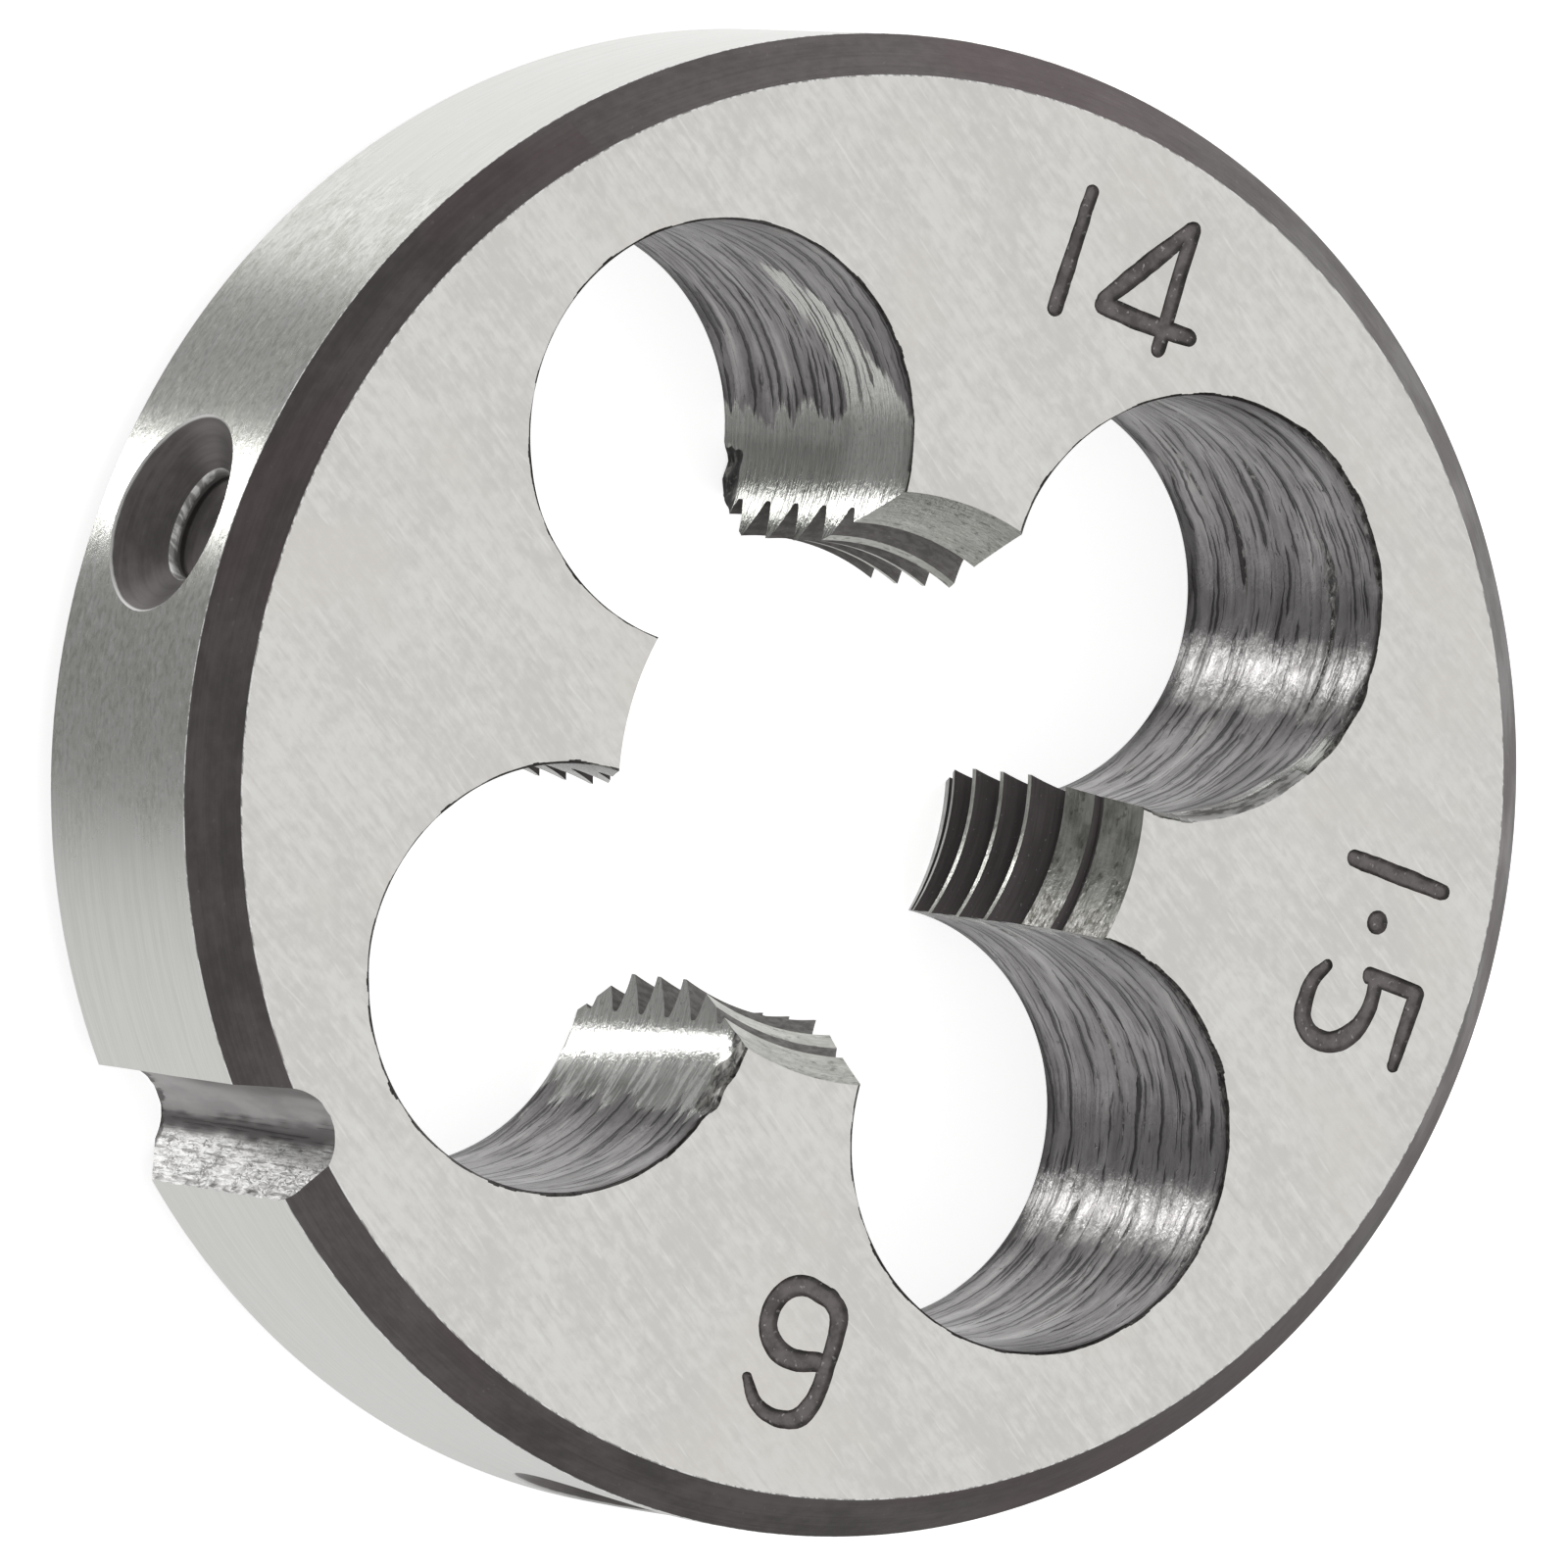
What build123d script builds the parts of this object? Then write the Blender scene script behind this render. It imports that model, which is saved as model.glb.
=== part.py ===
from build123d import *
import math
import os

# Round threading die, M14 x 1.5, 38 mm x 10 mm.
# Units are millimetres. The die lies flat on its plain face: +Z is the thread
# axis, z = 0 is the plain face, z = THICKNESS is the marked face, and the
# adjusting notch in the rim points to -Y.

# ---- driving dimensions -------------------------------------------------
OD = 38.0                   # outside diameter of the rim
THICKNESS = 10.0            # face to face
RIM_CHAMFER_R = 1.04        # rim chamfer, measured along the face
RIM_CHAMFER_Z = 1.14        # rim chamfer, measured along the rim

THREAD_MAJOR = 14.0         # nominal size of the thread that the die cuts
THREAD_PITCH = 1.5
THREAD_MINOR = THREAD_MAJOR - 1.2269 * THREAD_PITCH   # across the tips of the teeth
THREAD_INCLUDED = 60.0      # angle between the flanks
THREAD_TIP_FLAT = THREAD_PITCH / 8.0                  # flat on the tip of a tooth
THREAD_GROOVE_Z = 1.13      # height of one groove's middle at THREAD_GROOVE_ANGLE
THREAD_GROOVE_ANGLE = 45.0

LEAD_MARKED_R = 7.50        # radius of the lead cone where it meets the marked face
LEAD_PLAIN_R = 7.10         # and of the one at the plain face
LEAD_INCLUDED = 45.0        # angle of the lead cones

CHIP_HOLES = 4
CHIP_HOLE_D = 10.74         # chip hole, open to the bore
CHIP_HOLE_PITCH_R = 10.10   # radius of the circle that their centres lie on
CHIP_HOLE_ANGLE = 90.0      # angle of the first chip hole

NOTCH_ANGLE = 270.0         # V notch in the rim
NOTCH_INCLUDED = 60.0       # angle between its flanks
NOTCH_ROOT_RADIUS = 1.30
NOTCH_ROOT_R = 17.35        # distance of its root from the axis

RECESS_ANGLES = (221.35, 317.85)   # set-screw recesses, either side of the notch
RECESS_Z = 5.1              # height of their axes
RECESS_MOUTH_R = 2.90       # radius where the cone reaches the rim cylinder
RECESS_INCLUDED = 110.0     # angle of the outer cone
RECESS_PILOT_R = 1.40       # pilot at the bottom of the cone
RECESS_PILOT_WALL = 0.35    # straight wall of the pilot
RECESS_TIP_INCLUDED = 118.0 # drill point under the pilot

OVER = 1.0                  # how far a cutter runs past a face
GROOVE_SPAN = 50.0          # angle that one stretch of thread groove covers

R = OD / 2.0
BORE_R = THREAD_MINOR / 2.0


def turned(points):
    """Solid of revolution about Z from a closed list of (radius, height)."""
    with BuildPart() as p:
        with BuildSketch(Plane.XZ):
            with BuildLine():
                Polyline(*points, close=True)
            make_face()
        revolve(axis=Axis.Z)
    return p.part


def disc():
    """Blank with both rim chamfers."""
    return turned([
        (0.0, 0.0),
        (R - RIM_CHAMFER_R, 0.0),
        (R, RIM_CHAMFER_Z),
        (R, THICKNESS - RIM_CHAMFER_Z),
        (R - RIM_CHAMFER_R, THICKNESS),
        (0.0, THICKNESS),
    ])


def bore():
    """Bore through the tips of the teeth, with a lead cone at each face."""
    slope = math.tan(math.radians(LEAD_INCLUDED / 2.0))
    low = (LEAD_PLAIN_R - BORE_R) / slope
    high = (LEAD_MARKED_R - BORE_R) / slope
    return turned([
        (0.0, -OVER),
        (LEAD_PLAIN_R + slope * OVER, -OVER),
        (BORE_R, low),
        (BORE_R, THICKNESS - high),
        (LEAD_MARKED_R + slope * OVER, THICKNESS + OVER),
        (0.0, THICKNESS + OVER),
    ])


def groove_turn():
    """One stretch of the right-hand thread groove, long enough for one land,
    centred on the X axis at z = 0. Its ends lie in the chip holes."""
    inner = BORE_R - 0.3
    outer = THREAD_MAJOR / 2.0
    flank = math.tan(math.radians(THREAD_INCLUDED / 2.0))
    at_bore = THREAD_PITCH - THREAD_TIP_FLAT
    at_inner = at_bore + 2.0 * (BORE_R - inner) * flank
    at_outer = at_bore - 2.0 * (outer - BORE_R) * flank
    rise = THREAD_PITCH * GROOVE_SPAN / 360.0
    path = Helix(pitch=THREAD_PITCH, height=rise, radius=inner)
    section = make_face(Polyline(
        (inner, 0.0, -at_inner / 2.0),
        (outer, 0.0, -at_outer / 2.0),
        (outer, 0.0, at_outer / 2.0),
        (inner, 0.0, at_inner / 2.0),
        close=True,
    ))
    ridge = sweep(section, path=path, is_frenet=True)
    return Location((0, 0, -rise / 2.0)) * (Rotation(0, 0, -GROOVE_SPAN / 2.0) * ridge)


def chip_hole(angle):
    """One chip hole, straight through."""
    a = math.radians(angle)
    x = CHIP_HOLE_PITCH_R * math.cos(a)
    y = CHIP_HOLE_PITCH_R * math.sin(a)
    hole = Cylinder(CHIP_HOLE_D / 2.0, THICKNESS + 2.0 * OVER,
                    align=(Align.CENTER, Align.CENTER, Align.MIN))
    return Location((x, y, -OVER)) * hole


def notch():
    """V notch with a rounded root, cut through the full thickness."""
    half = math.radians(NOTCH_INCLUDED / 2.0)
    apex = NOTCH_ROOT_R + NOTCH_ROOT_RADIUS - NOTCH_ROOT_RADIUS / math.sin(half)
    cx = NOTCH_ROOT_R + NOTCH_ROOT_RADIUS
    tx = cx - NOTCH_ROOT_RADIUS * math.sin(half)
    ty = NOTCH_ROOT_RADIUS * math.cos(half)
    end = R + 2.0
    ey = (end - apex) * math.tan(half)
    with BuildPart() as p:
        with BuildSketch(Plane.XY.offset(-OVER)):
            with BuildLine():
                Line((end, -ey), (tx, -ty))
                ThreePointArc((tx, -ty), (NOTCH_ROOT_R, 0.0), (tx, ty))
                Line((tx, ty), (end, ey))
                Line((end, ey), (end, -ey))
            make_face()
        extrude(amount=THICKNESS + 2.0 * OVER)
    return Rotation(0, 0, NOTCH_ANGLE) * p.part


def recess(angle):
    """Conical set-screw recess with a small pilot, on a radial axis."""
    half = math.radians(RECESS_INCLUDED / 2.0)
    tip = math.radians(RECESS_TIP_INCLUDED / 2.0)
    cone_depth = (RECESS_MOUTH_R - RECESS_PILOT_R) / math.tan(half)
    floor = R - cone_depth - RECESS_PILOT_WALL
    point = floor - RECESS_PILOT_R / math.tan(tip)
    out = R + OVER
    with BuildPart() as p:
        with BuildSketch(Plane.XZ):
            with BuildLine():
                Polyline(
                    (point, 0.0),
                    (floor, RECESS_PILOT_R),
                    (R - cone_depth, RECESS_PILOT_R),
                    (out, RECESS_MOUTH_R + OVER * math.tan(half)),
                    (out, 0.0),
                    close=True,
                )
            make_face()
        revolve(axis=Axis.X)
    return Rotation(0, 0, angle) * (Location((0, 0, RECESS_Z)) * p.part)


body = disc() - bore()
for k in range(CHIP_HOLES):
    body = body - chip_hole(CHIP_HOLE_ANGLE + 360.0 * k / CHIP_HOLES)
body = body - notch()
for angle in RECESS_ANGLES:
    body = body - recess(angle)

turn = groove_turn()
for k in range(CHIP_HOLES):
    land = CHIP_HOLE_ANGLE + 360.0 * (k + 0.5) / CHIP_HOLES
    rise = THREAD_PITCH * (land - THREAD_GROOVE_ANGLE) / 360.0
    z = (THREAD_GROOVE_Z + rise) % THREAD_PITCH - THREAD_PITCH
    while z < THICKNESS + THREAD_PITCH:
        body = body - Location((0, 0, z)) * (Rotation(0, 0, land) * turn)
        z = z + THREAD_PITCH

solids = body.solids()
print("solids", len(solids), "volume mm3", round(body.volume, 1),
      "valid", solids[0].is_valid)

os.makedirs("parts", exist_ok=True)
export_step(solids[0], "parts/die_body.step")
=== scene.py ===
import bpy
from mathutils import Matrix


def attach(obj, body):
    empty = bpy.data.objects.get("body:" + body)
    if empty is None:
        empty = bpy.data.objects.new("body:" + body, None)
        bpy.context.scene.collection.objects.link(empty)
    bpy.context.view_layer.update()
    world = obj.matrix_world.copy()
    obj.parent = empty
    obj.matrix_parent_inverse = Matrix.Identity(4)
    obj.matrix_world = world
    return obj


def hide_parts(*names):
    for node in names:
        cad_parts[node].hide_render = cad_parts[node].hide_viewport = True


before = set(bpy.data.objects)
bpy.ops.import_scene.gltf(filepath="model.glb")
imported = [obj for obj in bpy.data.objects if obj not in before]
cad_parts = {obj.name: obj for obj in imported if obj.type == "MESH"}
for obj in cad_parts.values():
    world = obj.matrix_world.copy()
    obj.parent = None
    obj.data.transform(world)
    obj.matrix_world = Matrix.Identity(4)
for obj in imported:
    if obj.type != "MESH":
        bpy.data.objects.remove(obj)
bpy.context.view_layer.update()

import math

import bmesh
import bpy
import numpy as np
from mathutils import Matrix, Vector

# The die is built in millimetres and brought to metres at the end.
MM = 0.001
TAU = 2.0 * math.pi

# ---- the CAD part's dimensions ------------------------------------------
R_OUT = 19.0
THICK = 10.0
CH_R = 1.04
CH_Z = 1.14
PITCH = 1.5
R_MAJ = 7.0
R_TIP = (14.0 - 1.2269 * 1.5) / 2.0
TIP_FLAT = PITCH / 8.0
GROOVE_Z = 1.13
GROOVE_ANG = 45.0
LEAD_R = (7.10, 7.50)
LEAD_HALF = math.radians(22.5)
CHIP_R = 5.37
CHIP_PR = 10.1
NOTCH_HALF = math.radians(30.0)
NOTCH_RR = 1.30
NOTCH_ROOT = 17.35
REC_ANG = (221.35, 317.85)
REC_Z = 5.1
REC_MOUTH = 2.90
REC_HALF = math.radians(55.0)
REC_PILOT = 1.40
REC_WALL = 0.35
REC_TIP = math.radians(59.0)
GRIND_ANG = math.radians(13.0)

# ---- regions, one material each -----------------------------------------
FACE, RIM, CHAMFER, CHIP, FLANK, LEAD, NOTCH, RECESS, MARK, EDGE = range(10)
HOLES = (0, 90, 180, 270)
# How far round from the bore each hole is ground, on its two sides by the teeth.
GROUND = {0: {1: 56.0, -1: 47.0}, 90: {1: 55.0, -1: 56.0}, 180: {1: 67.0, -1: 56.0}, 270: {1: 56.0, -1: 67.0}}
# Ground tongues that reach further round: side, start in degrees, height there,
# rise per degree, half width, length in degrees.
TONGUE = {
    90: (1, 55.0, 9.7, 0.004, 1.5, 66.0),
    180: (1, 60.0, 8.5, -0.050, 1.6, 60.0),
}
SHINE = {0: 1.0, 90: 0.9, 180: 0.0, 270: 1.0}
# The holes were drilled a hair off: the middle at the marked face, and at the plain face.
OFF = {
    0: ((0.0, 0.0), (0.05, 0.16)),
    90: ((0.06, -0.15), (0.0, -0.25)),
    180: ((0.0, -0.05), (0.04, -0.30)),
    270: ((0.0, 0.0), (0.12, 0.26)),
}
# Break-outs: from and to in degrees round the hole, at the marked face or not, height, depth.
CHIPS = {
    0: [(58.0, 128.0, True, 0.30, 0.060)],
    90: [(14.0, 42.0, True, 0.30, 0.075), (62.0, 122.0, True, 0.30, 0.075)],
    180: [(25.0, 56.0, False, 1.25, 0.26)],
    270: [(20.0, 55.0, True, 1.00, 0.13)],
}
# A worn slope along the marked face: from, to, height, depth.
WORN = {90: (-38.0, 14.0, 0.50, 0.17)}
# Where the grinding wheel left the true circle: middle at the plain face and at the
# marked face, slope there in mm per radian, half width, half width of the hollow.
SWERVE = {270: (39.0, 0.00, 0.78, 16.0)}
# Stretches of the wall where the lamp's highlight band falls, in degrees round the hole: painted highlight, with the
# wall's colour brighter and evener there and its torn lines fainter.
HIGHLIGHT_BAND = {0: (26.0, 48.0), 90: (26.0, 50.0)}


# ---- noise on a lattice, periodic in u ----------------------------------
def noise2(u, v, nu, seed):
    g = np.random.RandomState(seed).uniform(-1.0, 1.0, (nu, 257))
    iu = np.floor(u).astype(int)
    iv = np.floor(v).astype(int)
    fu = u - iu
    fv = v - iv
    fu = fu * fu * (3.0 - 2.0 * fu)
    fv = fv * fv * (3.0 - 2.0 * fv)
    a = g[iu % nu, iv % 257]
    b = g[(iu + 1) % nu, iv % 257]
    c = g[iu % nu, (iv + 1) % 257]
    d = g[(iu + 1) % nu, (iv + 1) % 257]
    return (a * (1 - fu) + b * fu) * (1 - fv) + (c * (1 - fu) + d * fu) * fv


# ---- mesh code ----------------------------------------------------------
def make_object(name, verts, faces, regions):
    me = bpy.data.meshes.new(name)
    me.from_pydata([tuple(map(float, v)) for v in verts], [], [tuple(map(int, f)) for f in faces])
    me.polygons.foreach_set("material_index", np.array(regions, dtype=np.int32))
    me.update()
    ob = bpy.data.objects.new(name, me)
    bpy.context.scene.collection.objects.link(ob)
    for k in range(10):
        me.materials.append(MATS[k])
    return ob


def grid_faces(nu, nv, wrap_u, wrap_v):
    """Quads of a grid of nu by nv points, index = i * nv + j."""
    out = []
    for i in range(nu if wrap_u else nu - 1):
        for j in range(nv if wrap_v else nv - 1):
            a = i * nv + j
            b = ((i + 1) % nu) * nv + j
            c = ((i + 1) % nu) * nv + (j + 1) % nv
            d = i * nv + (j + 1) % nv
            out.append((a, b, c, d))
    return out


def turned_ring(name, profile, regions, segments):
    """Ring turned from a closed profile of (r, z), counter-clockwise."""
    n = len(profile)
    verts = []
    for i in range(segments):
        t = TAU * i / segments
        c, s = math.cos(t), math.sin(t)
        verts += [(r * c, r * s, z) for r, z in profile]
    faces = grid_faces(segments, n, True, True)
    reg = [regions[j] for i in range(segments) for j in range(n)]
    return make_object(name, verts, faces, reg)


def turned_plug(name, profile, regions, segments):
    """Plug turned from an open profile of (r, z) that runs upwards, capped."""
    n = len(profile)
    verts = []
    for i in range(segments):
        t = TAU * i / segments
        c, s = math.cos(t), math.sin(t)
        verts += [(r * c, r * s, z) for r, z in profile]
    faces = grid_faces(segments, n, True, False)
    reg = [regions[j] for i in range(segments) for j in range(n - 1)]
    faces.append(tuple(i * n for i in reversed(range(segments))))
    faces.append(tuple(i * n + n - 1 for i in range(segments)))
    reg += [regions[0], regions[-1]]
    return make_object(name, verts, faces, reg)


def corner(p0, p1, p2, r, steps=3):
    """Small round at p1 between p0 and p2, as a list of points."""
    a = np.array(p0, float) - p1
    b = np.array(p2, float) - p1
    a /= np.linalg.norm(a)
    b /= np.linalg.norm(b)
    half = math.acos(max(-1.0, min(1.0, float(a @ b)))) / 2.0
    d = r / math.tan(half)
    ctr = np.array(p1) + (a + b) / np.linalg.norm(a + b) * (r / math.sin(half))
    s = np.array(p1) + a * d - ctr
    e = np.array(p1) + b * d - ctr
    out = []
    for k in range(steps + 1):
        f = k / steps
        v = s * (1 - f) + e * f
        v = v / np.linalg.norm(v) * r
        out.append(tuple(ctr + v))
    return out


def blank():
    """Disc with rim chamfers. Every edge has a hair of a round on it."""
    pts = [(4.0, 0.0), (R_OUT - CH_R, 0.0), (R_OUT, CH_Z), (R_OUT, THICK - CH_Z),
           (R_OUT - CH_R, THICK), (4.0, THICK)]
    prof = [pts[0]]
    reg = [FACE]
    inner = [FACE, CHAMFER, RIM, CHAMFER, FACE]
    for k in range(1, 5):
        rnd = corner(pts[k - 1], pts[k], pts[k + 1], 0.05)
        prof += rnd
        reg += [EDGE] * (len(rnd) - 1) + [inner[k]]
        if k == 2:
            a, b = rnd[-1][1], THICK - CH_Z - 0.05
            for m in range(1, 6):
                prof.append((R_OUT, a + (b - a) * m / 6.0))
                reg.append(RIM)
    prof.append(pts[5])
    reg.append(FACE)
    return turned_ring("blank", prof, reg, 640)


def bore_plug():
    s = math.tan(LEAD_HALF)
    low, high = LEAD_R
    prof = [(low + s, -1.0), (R_TIP, (low - R_TIP) / s), (R_TIP, THICK - (high - R_TIP) / s),
            (high + s, THICK + 1.0)]
    return turned_plug("bore_plug", prof, [LEAD, LEAD, LEAD], 320)


def thread_ridge():
    """Helical body that cuts the right-hand thread grooves."""
    inner = R_TIP - 0.12
    f = math.tan(math.radians(30.0))
    w_bore = PITCH - TIP_FLAT
    w_in = w_bore + 2 * (R_TIP - inner) * f
    w_out = w_bore - 2 * (R_MAJ - R_TIP) * f
    sec = [(inner, -w_in / 2), (R_MAJ - 0.05, -(w_out / 2 + 0.05 * f)), (R_MAJ, -w_out / 2 + 0.03),
           (R_MAJ, w_out / 2 - 0.03), (R_MAJ - 0.05, w_out / 2 + 0.05 * f), (inner, w_in / 2)]
    turns = 10
    per = 112
    n = len(sec)
    verts = []
    start = GROOVE_Z - 2 * PITCH
    for i in range(turns * per + 1):
        t = TAU * i / per
        c, s = math.cos(t + math.radians(GROOVE_ANG)), math.sin(t + math.radians(GROOVE_ANG))
        dz = start + PITCH * t / TAU
        verts += [(r * c, r * s, z + dz) for r, z in sec]
    faces = grid_faces(turns * per + 1, n, False, True)
    reg = [FLANK] * len(faces)
    faces.append(tuple(range(n)))
    last = turns * per * n
    faces.append(tuple(last + k for k in reversed(range(n))))
    reg += [FLANK, FLANK]
    return make_object("thread_ridge", verts, faces, reg)


def ground_share(A, Z, angle):
    """1 where the wall of a hole is ground, by the teeth, and 0 where it is as drilled."""
    rel = (A - (math.radians(angle) + math.pi) + math.pi) % TAU - math.pi
    out = np.zeros_like(A)
    for side, limit in GROUND[angle].items():
        s = np.degrees(rel * side)
        g = np.clip(0.5 + (limit - s) / 20.0, 0.0, 1.0)
        out = np.maximum(out, np.where(s > 0, g, 0.0))
    if angle in TONGUE:
        side, start, high, rise, half, length = TONGUE[angle]
        s = np.degrees(rel * side) - start
        w = half * np.clip(1.0 - s / length, 0.0, 1.0) ** 0.8
        g = np.clip(0.5 + (w - np.abs(Z - high - rise * s)) / 1.5, 0.0, 1.0) * np.clip(w / 0.3, 0.0, 1.0)
        out = np.maximum(out, np.where(s > -12.0, g, 0.0))
    return out


def drift(A, Z, angle):
    """How far a hole's wall stands off the true cylinder, because the drill ran off."""
    (tx, ty), (bx, by) = OFF[angle]
    f = np.clip(Z / THICK, 0.0, 1.0)
    c, s = np.cos(A), np.sin(A)
    out = (tx * f + bx * (1.0 - f)) * c + (ty * f + by * (1.0 - f)) * s
    if angle == 90:
        rel = np.abs((A - (math.radians(angle) + math.pi) + math.pi) % TAU - math.pi)
        away = np.clip((np.degrees(rel) - 40.0) / 22.0, 0.0, 1.0)
        out *= away * away * (3.0 - 2.0 * away)
    out += worn(A, Z, angle)
    if angle in SWERVE:
        mid, low, high, wide = SWERVE[angle]
        d = (A - math.radians(mid) + math.pi) % TAU - math.pi
        out += (low + (high - low) * f) * d * np.exp(-(d / math.radians(wide)) ** 2)
    return out


def worn_side(A, angle):
    if angle not in WORN:
        return np.zeros_like(A)
    a0, a1, high, depth = WORN[angle]
    mid, half = math.radians((a0 + a1) / 2), math.radians((a1 - a0) / 2)
    off = np.abs((A - mid + math.pi) % TAU - math.pi)
    return np.clip((half - off) / math.radians(12.0), 0.0, 1.0)


def worn(A, Z, angle):
    """A rolled lip: the wall swells a little and then falls back to the marked face."""
    if angle not in WORN:
        return np.zeros_like(A)
    a0, a1, high, depth = WORN[angle]
    down = (THICK - np.minimum(Z, THICK)) / high
    swell = np.clip(down, 0.0, 1.0) * np.clip((4.5 - down) / 3.5, 0.0, 1.0)
    return depth * worn_side(A, angle) * (0.25 * np.clip(1.0 - down, 0.0, 1.0) - swell)


# Share of the painted highlight band on a hole's wall: 1 inside the stretch, soft at its ends.
def highlight_band_share(A, Z, angle):
    if angle not in HIGHLIGHT_BAND:
        return np.zeros_like(A)
    a0, a1 = HIGHLIGHT_BAND[angle]
    d = (np.degrees(A) - a0 + 180.0) % 360.0 - 180.0
    d = d + 1.2 * np.sin(Z * 2.3 + angle) + 0.8 * np.sin(Z * 5.9)
    return np.clip(d / 3.0, 0.0, 1.0) * np.clip((a1 - a0 - d) / 3.0, 0.0, 1.0)


def broken_lip(A, Z, angle, seed):
    """How far the small break-outs along the ends of a hole eat into the metal."""
    out = np.zeros_like(A)
    for k, (a0, a1, top, reach, depth) in enumerate(CHIPS[angle]):
        mid, half = math.radians((a0 + a1) / 2), math.radians((a1 - a0) / 2)
        off = np.abs((A - mid + math.pi) % TAU - math.pi)
        side = np.clip((half - off) / math.radians(5.0), 0.0, 1.0)
        crumb = 0.70 + 0.45 * noise2(A / TAU * 70, Z / 0.22 + 3, 70, seed + 20 + k)
        down = (THICK - Z if top else Z) / reach
        down = down + 0.30 * noise2(A / TAU * 44, Z * 0 + 0.5, 44, seed + 30 + k)
        out += depth * side * np.clip(1.0 - down, 0.0, 1.0) ** 0.7 * crumb
    return out


def chip_cutter(angle, seed):
    """Body of a chip hole. Its wall carries the torn marks that the drill left,
    which run round the hole, and the stretch by the teeth is ground smooth."""
    th = math.radians(angle)
    cx, cy = CHIP_PR * math.cos(th), CHIP_PR * math.sin(th)
    nu = 204
    zs = [-0.6, 0.07] + list(np.linspace(0.16, THICK - 0.16, 74)) + [THICK - 0.07, THICK + 0.6]
    zs = np.array(zs)
    al = np.linspace(0.0, TAU, nu, endpoint=False)
    A, Z = np.meshgrid(al, zs, indexing="ij")
    u = A / TAU
    v = Z + 0.10 * np.sin(A + seed) + 0.06 * np.sin(3 * A + 2 * seed)
    d = 0.005 * noise2(u * 9, v / 0.42, 9, seed + 1)
    d += 0.016 * noise2(u * 5, v / 1.9, 5, seed + 3)
    g = noise2(u * 11, v / 0.30, 11, seed + 4)
    d += 0.12 * np.clip(g - 0.52, 0.0, 1.0)
    d *= 1.0 - 0.94 * np.clip(ground_share(A, Z, angle) * 1.6 - 0.3, 0.0, 1.0)
    d += broken_lip(A, Z, angle, seed)
    lip = 0.34 * noise2(u * 96, Z * 0 + 0.5, 96, seed + 5) + 0.22 * noise2(u * 23, Z * 0 + 1.5, 23, seed + 6)
    lip += 1.10 * np.clip(noise2(u * 62, Z * 0 + 2.5, 62, seed + 7) - 0.50, 0.0, 1.0)
    ends = np.zeros_like(A)
    ends[:, 0] = 0.67
    ends[:, -1] = 0.67
    rr = CHIP_R + drift(A, Z, angle) + d + ends + np.where((Z < 0.0) | (Z > THICK), lip, 0.0)
    X = cx + rr * np.cos(A)
    Y = cy + rr * np.sin(A)
    nv = len(zs)
    verts = np.column_stack([X.ravel(), Y.ravel(), Z.ravel()])
    faces = grid_faces(nu, nv, True, False)
    reg = []
    bound = 9.52 + 0.22 * noise2(al / TAU * 80, al * 0 + 0.5, 80, seed + 8)
    on = worn_side(al, angle) > 0.45
    for i in range(nu):
        for j in range(nv - 1):
            reg.append(EDGE if on[i] and zs[j] > bound[i] else CHIP)
    faces.append(tuple(i * nv for i in reversed(range(nu))))
    faces.append(tuple(i * nv + nv - 1 for i in range(nu)))
    reg += [CHIP, CHIP]
    return make_object("chip_cutter", verts, faces, reg)


N_CX = NOTCH_ROOT + NOTCH_RR
N_APEX = N_CX - NOTCH_RR / math.sin(NOTCH_HALF)
N_TX = N_CX - NOTCH_RR * math.sin(NOTCH_HALF)


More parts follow.
